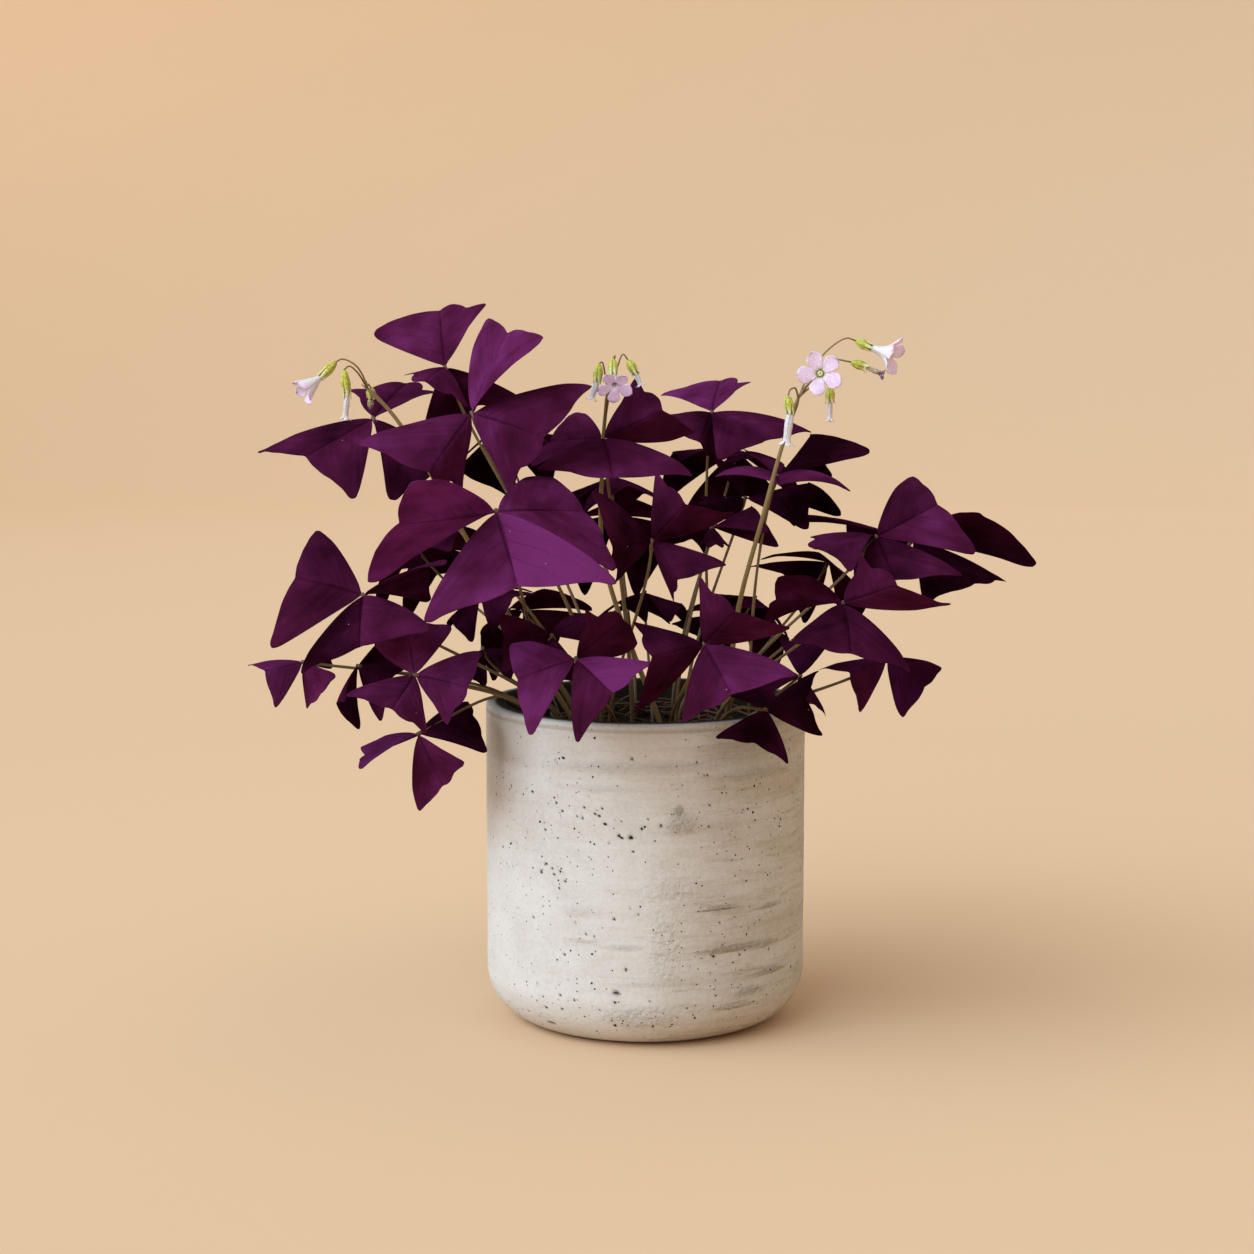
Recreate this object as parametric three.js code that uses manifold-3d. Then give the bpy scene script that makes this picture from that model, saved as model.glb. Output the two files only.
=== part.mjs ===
// A purple shamrock (Oxalis triangularis) growing in a cast concrete pot.
// Millimetres, +Z up, the origin on the table under the middle of the pot, the front facing -Y.
// Every leaf and every flower stalk rises singly out of the soil, as it does from the real bulbs.
import * as THREE from "three";
import { mergeVertices } from "three/addons/utils/BufferGeometryUtils.js";
import Module from "manifold-3d";

const wasm = await Module();
wasm.setup();

// ---- driving dimensions, mm ----
const POT_RADIUS = 65;
const POT_HEIGHT = 130;
const POT_WALL = 8.7;
const POT_CORNER = 21.5;
const POT_FLOOR = 10;
const POT_LIP = 1.4;
const SOIL_DROP = 12;
const SOIL_DOME = 2;
const CLEARANCE = 0.3;

const BLADE_THICKNESS = 0.8;
const RIB_LENGTH = 0.67; // midrib of a leaflet, as a share of its side
const HALF_OPENING = Math.PI / 4; // between the midrib and a side of the flat leaflet
const FOLD_DOWN = 0.45; // radians that each half hangs below the midrib on a resting leaflet
const STALK_RADIUS = 1.1;
const STALK_SIDES = 5;
const STALK_STEPS = 6;
const PLANTED_DEPTH = 7;
const HUB_HEIGHT = 0.8; // of the stalk's end above the middle surface of the blades
const BLADE_START = 0.3; // from the stalk's axis
const LEAFLET_SINK = 0.3; // of a resting leaflet's end below the leaf's plane, as a share
const OUTWARD_LIFT = 0.7; // upward share added to the way that a leaf faces out of the canopy
const STALK_RISE = 0.35; // first handle of the stalk's curve, as a share of its rise
const STALK_ARRIVAL = 0.3; // last handle of the stalk's curve, as a share of its reach

const SCAPE_RADIUS = 1.3;
const PEDICEL_RADIUS = 0.6;
const CALYX_RADIUS = 1.7;

const SOIL_TOP = POT_HEIGHT - SOIL_DROP;
const UP = new THREE.Vector3(0, 0, 1);
const CANOPY_CENTRE = new THREE.Vector3(0, 0, POT_HEIGHT);

// ---- the front elevation ----
// The plant is laid out on a perspective elevation: u runs right and v runs down, in drawing units,
// and a depth in mm (negative towards the viewer) picks the place along the line of sight.
const EYE = new THREE.Vector3(-7.5, -1070, 295);
const EYE_PITCH = THREE.MathUtils.degToRad(7.2);
const FOCAL_LENGTH = 2657;
const DRAWING_CENTRE = 627;
const EYE_FORWARD = new THREE.Vector3(0, Math.cos(EYE_PITCH), -Math.sin(EYE_PITCH));
const EYE_UP = new THREE.Vector3(0, Math.sin(EYE_PITCH), Math.cos(EYE_PITCH));

function place(u, v, depth) {
  const sight = EYE_FORWARD.clone()
    .addScaledVector(new THREE.Vector3(1, 0, 0), (u - DRAWING_CENTRE) / FOCAL_LENGTH)
    .addScaledVector(EYE_UP, (DRAWING_CENTRE - v) / FOCAL_LENGTH);
  return EYE.clone().addScaledVector(sight, (depth - EYE.y) / sight.y);
}

function drawn(point) {
  const ray = point.clone().sub(EYE);
  const distance = ray.dot(EYE_FORWARD);
  return [
    DRAWING_CENTRE + (FOCAL_LENGTH * ray.x) / distance,
    DRAWING_CENTRE - (FOCAL_LENGTH * ray.dot(EYE_UP)) / distance,
  ];
}

// ---- the leaves ----
// hub: where the three leaflets meet, on the drawing. depth and side (of a leaflet) are mm.
// leaflets: [tip, tip, end of the midrib, lean], lean -1 towards the viewer, 1 away, 0 across,
// and what is special about one: its own side or dome.
const LEAVES = {
  leaf_high_left: {
    hub: [472, 413], depth: -47, side: 50,
    leaflets: [
      [[482, 320], [539, 340], [497, 348], 3],
      [[357, 442], [459, 491], [425, 472], -1],
      [[591, 383], [512, 494], [543, 441], -1],
    ],
  },
  leaf_high_left_back: {
    hub: [445, 367], depth: 12, side: 44,
    leaflets: [
      [[370, 333], [489, 306], [435, 333], 1],
      [[404, 381], [466, 412], [431, 393], -1],
    ],
  },
  leaf_upper_far_left: {
    hub: [373, 418], depth: 1, side: 50,
    leaflets: [
      [[257, 449], [355, 498], [307, 468], -1],
      [[348, 396], [439, 398], [390, 385], 1],
      [[391, 498], [455, 470], [420, 466], -1],
    ],
  },
  leaf_big_front: {
    hub: [496, 511], depth: -92, side: 56, root: [-42, -30],
    leaflets: [
      [[419, 475], [369, 580], [407, 516], 1],
      [[422, 622], [619, 580], [520, 592], -1],
      [[540, 472], [615, 572], [579, 515], 1],
    ],
  },
  leaf_high_middle: {
    hub: [603, 438], depth: -17, side: 50,
    leaflets: [
      [[532, 471], [697, 473], [609, 478], -1],
      [[637, 378], [696, 436], [670, 420], 1, { side: 40 }],
      [[577, 410], [532, 469], [558, 440], 0, { side: 38 }],
    ],
  },
  leaf_high_back: {
    hub: [712, 412], depth: 35, side: 46, root: [27, 31],
    leaflets: [
      [[659, 398], [754, 388], [708, 396], 1],
      [[812, 431], [719, 457], [769, 445], -1],
      [[715, 465], [650, 420], [690, 440], -1],
    ],
  },
  leaf_upper_right: {
    hub: [777, 476], depth: -3, side: 42, root: [42, -4],
    leaflets: [
      [[713, 479], [853, 490], [783, 504], -1, { dome: 0.16 }],
      [[746, 459], [784, 463], [768, 463], 1, { side: 32 }],
      [[871, 451], [829, 478], [848, 465], 1, { side: 38 }],
    ],
  },
  leaf_upper_right_under: {
    hub: [745, 498], depth: 19, side: 36,
    leaflets: [
      [[806, 529], [840, 513], [801, 512], 0, { side: 42 }],
      [[700, 500], [730, 530], [712, 512], -1],
      [[714, 460], [746, 461], [730, 474], 0, { side: 18 }],
    ],
  },
  leaf_middle: {
    hub: [652, 541], depth: -62, side: 33, root: [-15, -29],
    leaflets: [
      [[594, 489], [614, 582], [608, 557], 0],
      [[657, 472], [735, 516], [691, 505], 1],
      [[727, 564], [676, 601], [686, 577], -1],
    ],
  },
  leaf_far_left: {
    hub: [363, 595], depth: -42, side: 42,
    leaflets: [
      [[318, 528], [271, 649], [296, 584], 0],
      [[299, 672], [430, 626], [370, 642], -1],
      [[446, 561], [427, 600], [425, 580], 1],
    ],
  },
  leaf_low_left: {
    hub: [415, 675], depth: -62, side: 31, arch: 4,
    leaflets: [
      [[372, 643], [453, 627], [413, 635], 1],
      [[481, 650], [447, 726], [464, 686], 0],
      [[345, 694], [426, 735], [389, 713], -1],
    ],
  },
  leaf_lowest_far_left: {
    hub: [303, 662], depth: -6, side: 24, arch: 4,
    leaflets: [
      [[248, 663], [276, 708], [266, 683], -1],
      [[307, 708], [334, 674], [322, 690], -1],
    ],
  },
  leaf_hanging_left: {
    hub: [418, 734], depth: -38, side: 34, arch: 5,
    leaflets: [
      [[361, 768], [366, 742], [376, 752], 0],
      [[415, 811], [465, 761], [450, 783], -1],
      [[486, 753], [465, 700], [470, 722], 1],
    ],
  },
  leaf_low_left_back: {
    hub: [358, 666], depth: -30, side: 26, arch: 4,
    leaflets: [
      [[358, 728], [345, 700], [352, 700], -1],
      [[395, 672], [388, 640], [385, 655], 1],
    ],
  },
  leaf_rim_front: {
    hub: [576, 659], depth: -92, side: 35,
    leaflets: [
      [[511, 641], [531, 736], [525, 682], 0],
      [[576, 743], [653, 664], [617, 699], -1],
      [[584, 609], [637, 649], [610, 630], 1],
    ],
  },
  leaf_rim_middle: {
    hub: [704, 644], depth: -84, side: 38,
    leaflets: [
      [[702, 575], [791, 628], [734, 612], 1],
      [[797, 672], [683, 724], [737, 696], -1],
      [[632, 623], [636, 715], [654, 661], 0],
    ],
  },
  leaf_rim_right: {
    hub: [766, 710], depth: -66, side: 26, arch: 4,
    leaflets: [
      [[715, 738], [789, 764], [753, 750], -1],
      [[822, 737], [817, 669], [817, 701], 0],
    ],
  },
  leaf_right_front: {
    hub: [843, 603], depth: -62, side: 39,
    leaflets: [
      [[785, 570], [767, 623], [778, 599], 0],
      [[790, 643], [912, 670], [846, 654], -1],
      [[862, 552], [951, 608], [895, 585], 1],
    ],
  },
  leaf_right_high: {
    hub: [876, 537], depth: -28, side: 42,
    leaflets: [
      [[908, 474], [976, 553], [936, 514], 1],
      [[812, 547], [852, 568], [828, 557], -1, { dome: 0.14 }],
      [[964, 574], [855, 572], [892, 580], -1],
    ],
  },
  leaf_far_right: {
    hub: [912, 541], depth: 30, side: 52,
    leaflets: [
      [[1036, 564], [945, 515], [987, 548], 0],
      [[1005, 583], [925, 600], [965, 577], -1],
    ],
  },
  leaf_right_low: {
    hub: [887, 658], depth: -26, side: 28,
    leaflets: [
      [[860, 713], [819, 668], [846, 684], -1],
      [[901, 718], [942, 666], [916, 693], -1],
    ],
  },
  leaf_right_inner: {
    hub: [800, 676], depth: -32, side: 21, root: [39, -22],
    leaflets: [
      [[826, 716], [790, 700], [808, 702], -1],
      [[780, 640], [830, 640], [805, 648], 1],
    ],
  },
  leaf_front_inner: {
    hub: [552, 636], depth: -58, side: 27,
    leaflets: [
      [[500, 612], [505, 672], [508, 642], 0],
      [[530, 700], [585, 680], [556, 684], -1],
    ],
  },
  leaf_middle_right: {
    hub: [712, 527], depth: 0, side: 27,
    leaflets: [
      [[768, 532], [778, 547], [760, 537], 0],
      [[700, 548], [728, 549], [714, 545], -1],
    ],
  },
};

// Leaves at the back and in the middle, laid out in mm.
// heading is the compass turn of the first leaflet, and droop tips the leaf outwards, in degrees.
const BACK_LEAVES = {
  leaf_back_high_left: { hub: [-62, 62, 236], side: 42, heading: 20, droop: 25 },
  leaf_back_high_right: { hub: [40, 82, 226], side: 42, heading: 70, droop: 30 },
  leaf_back_middle: { hub: [-12, 104, 196], side: 40, heading: 40, droop: 40 },
  leaf_back_left: { hub: [-98, 66, 186], side: 38, heading: 95, droop: 40 },
  leaf_back_right: { hub: [80, 80, 178], side: 36, heading: 10, droop: 38, root: [35, 24] },
  leaf_back_low_left: { hub: [-54, 104, 154], side: 34, heading: 60, droop: 48, arch: 4 },
  leaf_back_low_right: { hub: [44, 108, 150], side: 34, heading: 15, droop: 48, arch: 4 },
  leaf_inner_top: { hub: [-14, 42, 218], side: 32, heading: 50, droop: 10 },
  leaf_inner_middle: { hub: [0, 44, 169], side: 25, heading: 105, droop: 9, root: [3, 5] },
  leaf_inner_right: { hub: [46, 34, 168], side: 25, heading: 54, droop: 29, root: [14, 16] },
  leaf_inner_left: { hub: [-65, -33, 179], side: 25, heading: 80, droop: 25 },
  leaf_inner_low: { hub: [-67, 14, 149], side: 26, heading: 101, droop: 14, root: [-34, 11] },
};

// ---- the flower stalks ----
// Places are [u, v, depth]. stem runs from above the soil to the top, where the pedicels part.
// Each flower hangs on its own pedicel, with a calyx from base to throat and a corolla from
// throat to mouth. radius is the corolla's, mm, at the mouth.
const FLOWER_STALKS = {
  flower_stalk_right: {
    root: [32, -16],
    stem: [[738, 611, -36], [762, 520, -44], [781, 450, -46], [799, 396, -46]],
    flowers: {
      corolla_right_hanging: {
        pedicel: [[795, 388, -49], [790, 390, -51]],
        base: [788, 396, -52], throat: [790, 414, -53], mouth: [786, 446, -53], radius: 2.6,
      },
      corolla_right_open: {
        pedicel: [[806, 386, -45]],
        base: [815, 379, -45], throat: [818, 375, -51], mouth: [821, 373, -61], radius: 9,
      },
      corolla_right_small: {
        pedicel: [[808, 389, -43], [822, 380, -39]],
        base: [830, 387, -38], throat: [830, 402, -38], mouth: [830, 422, -39], radius: 1.6,
      },
      corolla_right_trumpet: {
        pedicel: [[810, 372, -42], [830, 348, -40], [847, 338, -40]],
        base: [856, 341, -40], throat: [872, 348, -42], mouth: [897, 357, -46], radius: 8,
      },
      corolla_right_withered: {
        pedicel: [[812, 380, -41], [832, 360, -36]],
        base: [851, 362, -34], throat: [866, 367, -34], mouth: [884, 375, -34], radius: 1.5,
      },
    },
  },
  flower_stalk_left: {
    root: [-27, -3],
    stem: [[500, 600, -12], [440, 490, -24], [394, 416, -27], [366, 387, -26]],
    flowers: {
      corolla_left_trumpet: {
        pedicel: [[362, 374, -28], [354, 364, -30], [342, 359, -31]],
        base: [336, 362, -32], throat: [321, 377, -34], mouth: [301, 393, -38], radius: 5.5,
      },
      corolla_left_hanging: {
        pedicel: [[357, 372, -34], [349, 366, -36]],
        base: [344, 370, -37], throat: [347, 396, -37], mouth: [345, 420, -37], radius: 1.9,
      },
      corolla_left_bud: {
        pedicel: [[368, 384, -22]],
        base: [371, 388, -20], throat: [371, 398, -19], mouth: [370, 410, -19], radius: 1.2,
      },
    },
  },
  flower_stalk_middle: {
    root: [7, -3],
    stem: [[604, 560, -6], [602, 470, -9], [604, 428, -6], [608, 392, -14]],
    flowers: {
      corolla_middle_left: {
        pedicel: [[605, 374, -22], [602, 362, -23]],
        base: [599, 364, -24], throat: [597, 382, -25], mouth: [591, 400, -25], radius: 1.9,
      },
      corolla_middle_open: {
        pedicel: [[611, 372, -18], [615, 356, -20]],
        base: [613, 359, -24], throat: [613, 376, -29], mouth: [615, 388, -37], radius: 7,
      },
      corolla_middle_right: {
        pedicel: [[617, 368, -17], [623, 354, -17]],
        base: [628, 360, -17], throat: [636, 374, -18], mouth: [641, 386, -18], radius: 1.6,
      },
    },
  },
};
const CALYX_PROFILE = [[0, 0], [0.7, 0.08], [1, 0.5], [0.75, 1], [0, 1]];
const PEDICEL_STEPS = 5;
const STEM_STEPS = 7;
const TUBE_RADIUS = 1.1; // of a corolla where it leaves the calyx
const WIDEST_THROAT = 2.4;
const WIDEST_FURLED = 3; // radius up to which a corolla is furled
const LOBES = 5;
const LOBE_DEPTH = 0.3; // how far the notch between two lobes reaches in, as a share of the radius

// ---- solids ----
function solidOf(geometry) {
  geometry.deleteAttribute("normal");
  geometry.deleteAttribute("uv");
  const merged = mergeVertices(geometry, 1e-3);
  return new wasm.Manifold(
    new wasm.Mesh({
      numProp: 3,
      vertProperties: new Float32Array(merged.attributes.position.array),
      triVerts: new Uint32Array(merged.index.array),
    }),
  );
}

function geometryOf(solid) {
  const mesh = solid.getMesh();
  const geometry = new THREE.BufferGeometry();
  geometry.setAttribute("position", new THREE.BufferAttribute(mesh.vertProperties, 3));
  geometry.setIndex(new THREE.BufferAttribute(mesh.triVerts, 1));
  const flat = geometry.toNonIndexed();
  flat.computeVertexNormals();
  return flat;
}

function tubeAlong(curve, radius, sides, steps) {
  const corners = Array.from({ length: sides }, (_, i) => {
    const angle = (2 * Math.PI * i) / sides;
    return new THREE.Vector2(radius * Math.cos(angle), radius * Math.sin(angle));
  });
  return new THREE.ExtrudeGeometry(new THREE.Shape(corners), {
    steps,
    extrudePath: curve,
    bevelEnabled: false,
  });
}

// A closed surface of revolution from its profile of [radius, height], stood on base along axis.
function turned(profile, segments, base, axis) {
  const points = profile.map(([r, h]) => new THREE.Vector2(r, h));
  const geometry = new THREE.LatheGeometry(points, segments);
  const turn = new THREE.Quaternion().setFromUnitVectors(new THREE.Vector3(0, 1, 0), axis);
  return geometry.applyQuaternion(turn).translate(base.x, base.y, base.z);
}

// ---- one leaflet ----
// Half of the leaflet in shares of its side: [across, along, domed] at the bulge of its side
// margin, its tip and the bulge of its outer margin. domed points stand above the plane of hub,
// midrib and tip, by the leaflet's dome. The midrib runs from [0, 0] to [0, RIB_LENGTH].
const HALF_OUTLINE = [
  [0.41, 0.27, 1],
  [0.71, 0.7, 0],
  [0.37, 0.73, 0.6],
];
const HALF_FACES = [[0, 1, 3], [1, 2, 3], [0, 3, 4]]; // hub, side bulge, tip, outer bulge, rib end
const USUAL_DOME = 0.06;
const STEEPEST_RIDGE = 0.5; // cosine between the ridge and a half's face, for its thickness

// The midrib of a leaflet whose two sides run to tipA and tipB, as a unit vector from the hub, and
// the way that the ridge along it faces. A leaflet narrower than its flat shape is folded, with
// the midrib as a ridge on its upper face.
function midrib(hub, tipA, tipB, upper) {
  const a = tipA.clone().sub(hub).normalize();
  const b = tipB.clone().sub(hub).normalize();
  const middle = a.clone().add(b).normalize();
  const face = a.clone().cross(b).normalize();
  if (face.dot(upper) < 0) face.negate();
  const halfAngle = a.angleTo(b) / 2;
  const rise = halfAngle < HALF_OPENING
    ? Math.acos(Math.cos(HALF_OPENING) / Math.cos(halfAngle))
    : 0;
  const rib = middle.clone().multiplyScalar(Math.cos(rise)).addScaledVector(face, Math.sin(rise));
  const ridge = face.multiplyScalar(Math.cos(rise)).addScaledVector(middle, -Math.sin(rise));
  return { rib, ridge };
}

// A tip on its line of sight, sense (-1 to 1) of the way to where it is one side from the hub.
function tipOnSight(hub, [u, v], side, sense) {
  const flat = place(u, v, hub.y);
  const reach = Math.sqrt(Math.max(0, side * side - flat.distanceToSquared(hub)));
  return place(u, v, hub.y + sense * reach);
}

// The fold of a drawn leaflet: of the depths that its two tips can take, the pair whose midrib
// ends where the drawing puts it, with the leaflet leaning the way that it does.
const SENSES = [-1, -0.75, -0.5, -0.25, 0, 0.25, 0.5, 0.75, 1];
const MISS_TOLERANCE = 12; // drawing units
const USUAL_OPENING = 1.35; // radians between the two sides
const OPENING_TOLERANCE = 0.3;
const LEAN_WEIGHT = 1.2;
const EDGE_ON_WEIGHT = 0.5;
function unfold(hub, leafSide, upper, [tipA, tipB, ribEnd, lean, special = {}]) {
  const side = special.side ?? leafSide;
  const dome = special.dome ?? USUAL_DOME;
  let best = null;
  for (const senseA of SENSES) {
    for (const senseB of SENSES) {
      const a = tipOnSight(hub, tipA, side, senseA);
      const b = tipOnSight(hub, tipB, side, senseB);
      const { rib, ridge } = midrib(hub, a, b, upper);
      const end = hub.clone().addScaledVector(rib, RIB_LENGTH * side);
      const [u, v] = drawn(end);
      const miss = Math.hypot(u - ribEnd[0], v - ribEnd[1]) / MISS_TOLERANCE;
      const opening = a.clone().sub(hub).angleTo(b.clone().sub(hub));
      const squeeze = (opening - USUAL_OPENING) / OPENING_TOLERANCE;
      const depth = (a.y + b.y + end.y - 3 * hub.y) / side;
      const edgeOn = 2 - Math.abs(senseA) - Math.abs(senseB);
      const leaning = EDGE_ON_WEIGHT * edgeOn - LEAN_WEIGHT * lean * depth;
      const cost = miss * miss + squeeze * squeeze + leaning;
      if (best === null || cost < best.cost) best = { cost, a, b, rib, ridge, side, dome };
    }
  }
  return best;
}

// A leaflet that rests as it grows, its midrib along rib and its halves a little folded down.
function restingLeaflet(hub, side, upper, rib) {
  const across = rib.clone().cross(upper).normalize();
  const face = across.clone().cross(rib).normalize();
  const tip = (sign) =>
    hub.clone()
      .addScaledVector(rib, side * Math.cos(HALF_OPENING))
      .addScaledVector(across, sign * side * Math.sin(HALF_OPENING) * Math.cos(FOLD_DOWN))
      .addScaledVector(face, -side * Math.sin(HALF_OPENING) * Math.sin(FOLD_DOWN));
  return { a: tip(-1), b: tip(1), rib, ridge: face, side, dome: USUAL_DOME };
}

// The plane of the half that reaches to tip: its way across, its upper face and its size.
function halfFrame(hub, rib, tip, ridge) {
  const arm = tip.clone().sub(hub);
  const along = arm.dot(rib);
  const across = arm.clone().addScaledVector(rib, -along).normalize();
  const face = across.clone().cross(rib).normalize();
  if (face.dot(ridge) < 0) face.negate();
  return { across, face, scale: arm.length() };
}

function bladeSolid(hub, { a, b, rib, ridge, side, dome }) {
  const halves = [halfFrame(hub, rib, a, ridge), halfFrame(hub, rib, b, ridge)];
  const ridgeLift = BLADE_THICKNESS / 2 / Math.max(STEEPEST_RIDGE, ridge.dot(halves[0].face));
  const count = HALF_OUTLINE.length;
  const points = [];
  for (const level of [1, -1]) {
    for (const along of [BLADE_START, RIB_LENGTH * side]) {
      points.push(
        hub.clone().addScaledVector(rib, along).addScaledVector(ridge, level * ridgeLift),
      );
    }
    for (const half of halves) {
      for (const [x, y, domed] of HALF_OUTLINE) {
        points.push(
          hub.clone()
            .addScaledVector(rib, y * half.scale)
            .addScaledVector(half.across, x * half.scale)
            .addScaledVector(half.face, domed * dome * side + (level * BLADE_THICKNESS) / 2),
        );
      }
    }
  }
  const layer = 2 + 2 * count;
  const outline = (offset) => [0, ...Array.from({ length: count }, (_, i) => offset + i), 1];
  const faces = [];
  for (const [offset, flip] of [[2, false], [2 + count, true]]) {
    const ring = outline(offset);
    const add = (p, q, r) => faces.push(flip ? [p, r, q] : [p, q, r]);
    for (const [i, j, k] of HALF_FACES) {
      add(ring[i], ring[j], ring[k]);
      add(ring[i] + layer, ring[k] + layer, ring[j] + layer);
    }
    for (let i = 0; i < ring.length - 1; i += 1) {
      add(ring[i], ring[i] + layer, ring[i + 1]);
      add(ring[i + 1], ring[i] + layer, ring[i + 1] + layer);
    }
  }
  const facesOut = halves[0].across.clone().cross(rib).dot(halves[0].face) > 0;
  const index = faces.flatMap(([p, q, r]) => (facesOut ? [p, q, r] : [p, r, q]));
  const geometry = new THREE.BufferGeometry().setFromPoints(points).setIndex(index);
  return solidOf(geometry);
}

// ---- whole leaves ----
// The side of the leaf that faces out of the canopy.
function outwardAt(hub) {
  const out = hub.clone().sub(CANOPY_CENTRE).normalize();
  return out.addScaledVector(UP, OUTWARD_LIFT).normalize();
}

// A third leaflet opposite to the two that are drawn.
function oppositeLeaflet(hub, side, upper, others) {
  const rib = new THREE.Vector3();
  for (const other of others) rib.sub(other.rib);
  rib.addScaledVector(upper, -rib.dot(upper) - LEAFLET_SINK).normalize();
  return restingLeaflet(hub, side, upper, rib);
}

function drawnLeaf({ hub: [u, v], depth, side, leaflets, root, arch }) {
  const hub = place(u, v, depth);
  const upper = outwardAt(hub);
  const blades = leaflets.map((drawing) => unfold(hub, side, upper, drawing));
  if (blades.length < 3) blades.push(oppositeLeaflet(hub, side, upper, blades));
  return { hub, upper, blades, root, arch };
}

function backLeaf({ hub: [x, y, z], side, heading, droop, root, arch }) {
  const hub = new THREE.Vector3(x, y, z);
  const out = new THREE.Vector3(x, y, 0).normalize();
  const tilt = THREE.MathUtils.degToRad(droop);
  const upper = UP.clone().multiplyScalar(Math.cos(tilt)).addScaledVector(out, Math.sin(tilt));
  const blades = [0, 120, 240].map((turn) => {
    const angle = THREE.MathUtils.degToRad(heading + turn);
    const rib = new THREE.Vector3(Math.cos(angle), Math.sin(angle), 0);
    rib.addScaledVector(upper, -rib.dot(upper)).normalize();
    rib.addScaledVector(upper, -LEAFLET_SINK).normalize();
    return restingLeaflet(hub, side, upper, rib);
  });
  return { hub, upper, blades, root, arch };
}

// The stalk comes straight up out of the soil, spread round the clump as its leaf is round the
// canopy, and meets the leaf from below. A low leaf's stalk arches over the rim of the pot instead.
const CLUMP_RADIUS = 40;
function rootOf(hub, root) {
  if (root) return new THREE.Vector3(root[0], root[1], SOIL_TOP);
  const flat = new THREE.Vector2(hub.x, hub.y);
  const rise = Math.atan2(hub.z - SOIL_TOP, flat.length());
  const radius = CLUMP_RADIUS * Math.cos(rise);
  return new THREE.Vector3(hub.x, hub.y, 0).setLength(radius).setZ(SOIL_TOP);
}

function stalkPath(root, hub, upper, arch) {
  if (arch) {
    const rim = POT_RADIUS - POT_WALL / 2;
    const crest = new THREE.Vector3(hub.x, hub.y, 0).setLength(rim).setZ(POT_HEIGHT + arch);
    const past = hub.clone().sub(crest).setLength(HUB_HEIGHT).add(hub);
    return new THREE.CatmullRomCurve3([root, crest, past]);
  }
  const rise = hub.z - root.z;
  const reach = hub.distanceTo(root);
  const bend = root.clone().addScaledVector(UP, STALK_RISE * Math.max(rise, reach / 2));
  const arrive = hub.clone().addScaledVector(upper, -STALK_ARRIVAL * reach);
  const end = hub.clone().addScaledVector(upper, HUB_HEIGHT);
  return new THREE.CubicBezierCurve3(root, bend, arrive, end);
}

function plantedPath(root, hub, upper, arch) {
  const path = new THREE.CurvePath();
  const foot = root.clone().addScaledVector(UP, -PLANTED_DEPTH);
  path.add(new THREE.LineCurve3(foot, root));
  path.add(stalkPath(root, hub, upper, arch));
  return path;
}

const sockets = [];
function leafSolid({ hub, upper, blades, root, arch }) {
  const path = plantedPath(rootOf(hub, root), hub, upper, arch);
  sockets.push(solidOf(tubeAlong(path, STALK_RADIUS + CLEARANCE, STALK_SIDES, STALK_STEPS)));
  let solid = solidOf(tubeAlong(path, STALK_RADIUS, STALK_SIDES, STALK_STEPS));
  for (const blade of blades) solid = solid.add(bladeSolid(hub, blade));
  return solid;
}

// ---- flowers ----
// The tube widens to the throat and the lobes spread to the mouth. The inside of an open corolla
// goes back down the tube, and a furled one is closed just under its lobes.
function corollaSolid(from, to, radius) {
  const axis = to.clone().sub(from);
  const length = axis.length();
  axis.normalize();
  const start = from.clone().addScaledVector(axis, CLEARANCE);
  const throat = Math.min(0.8 * radius, WIDEST_THROAT);
  const inside = radius > WIDEST_FURLED
    ? [[0.8 * throat, 0.82 * length], [0, 0.6 * length]]
    : [[0, 0.9 * length]];
  const outside = [[0, 0], [TUBE_RADIUS, 0], [throat, 0.7 * length], [radius, length]];
  const profile = [...outside, ...inside];
  const geometry = turned(profile, 2 * LOBES, new THREE.Vector3(), new THREE.Vector3(0, 1, 0));
  const places = geometry.attributes.position;
  for (let i = 0; i < places.count; i += 1) {
    const [x, z] = [places.getX(i), places.getZ(i)];
    if (Math.hypot(x, z) < 0.9 * radius) continue;
    const share = 1 - (LOBE_DEPTH * (1 - Math.cos(LOBES * Math.atan2(x, z)))) / 2;
    places.setXYZ(i, x * share, places.getY(i), z * share);
  }
  const turn = new THREE.Quaternion().setFromUnitVectors(new THREE.Vector3(0, 1, 0), axis);
  return solidOf(geometry.applyQuaternion(turn).translate(start.x, start.y, start.z));
}

function calyxSolid(base, throat) {
  const axis = throat.clone().sub(base);
  const length = axis.length();
  const profile = CALYX_PROFILE.map(([r, h]) => [r * CALYX_RADIUS, h * length]);
  axis.normalize();
  const start = base.clone().addScaledVector(axis, -PEDICEL_RADIUS);
  return solidOf(turned(profile, 6, start, axis));
}

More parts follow.
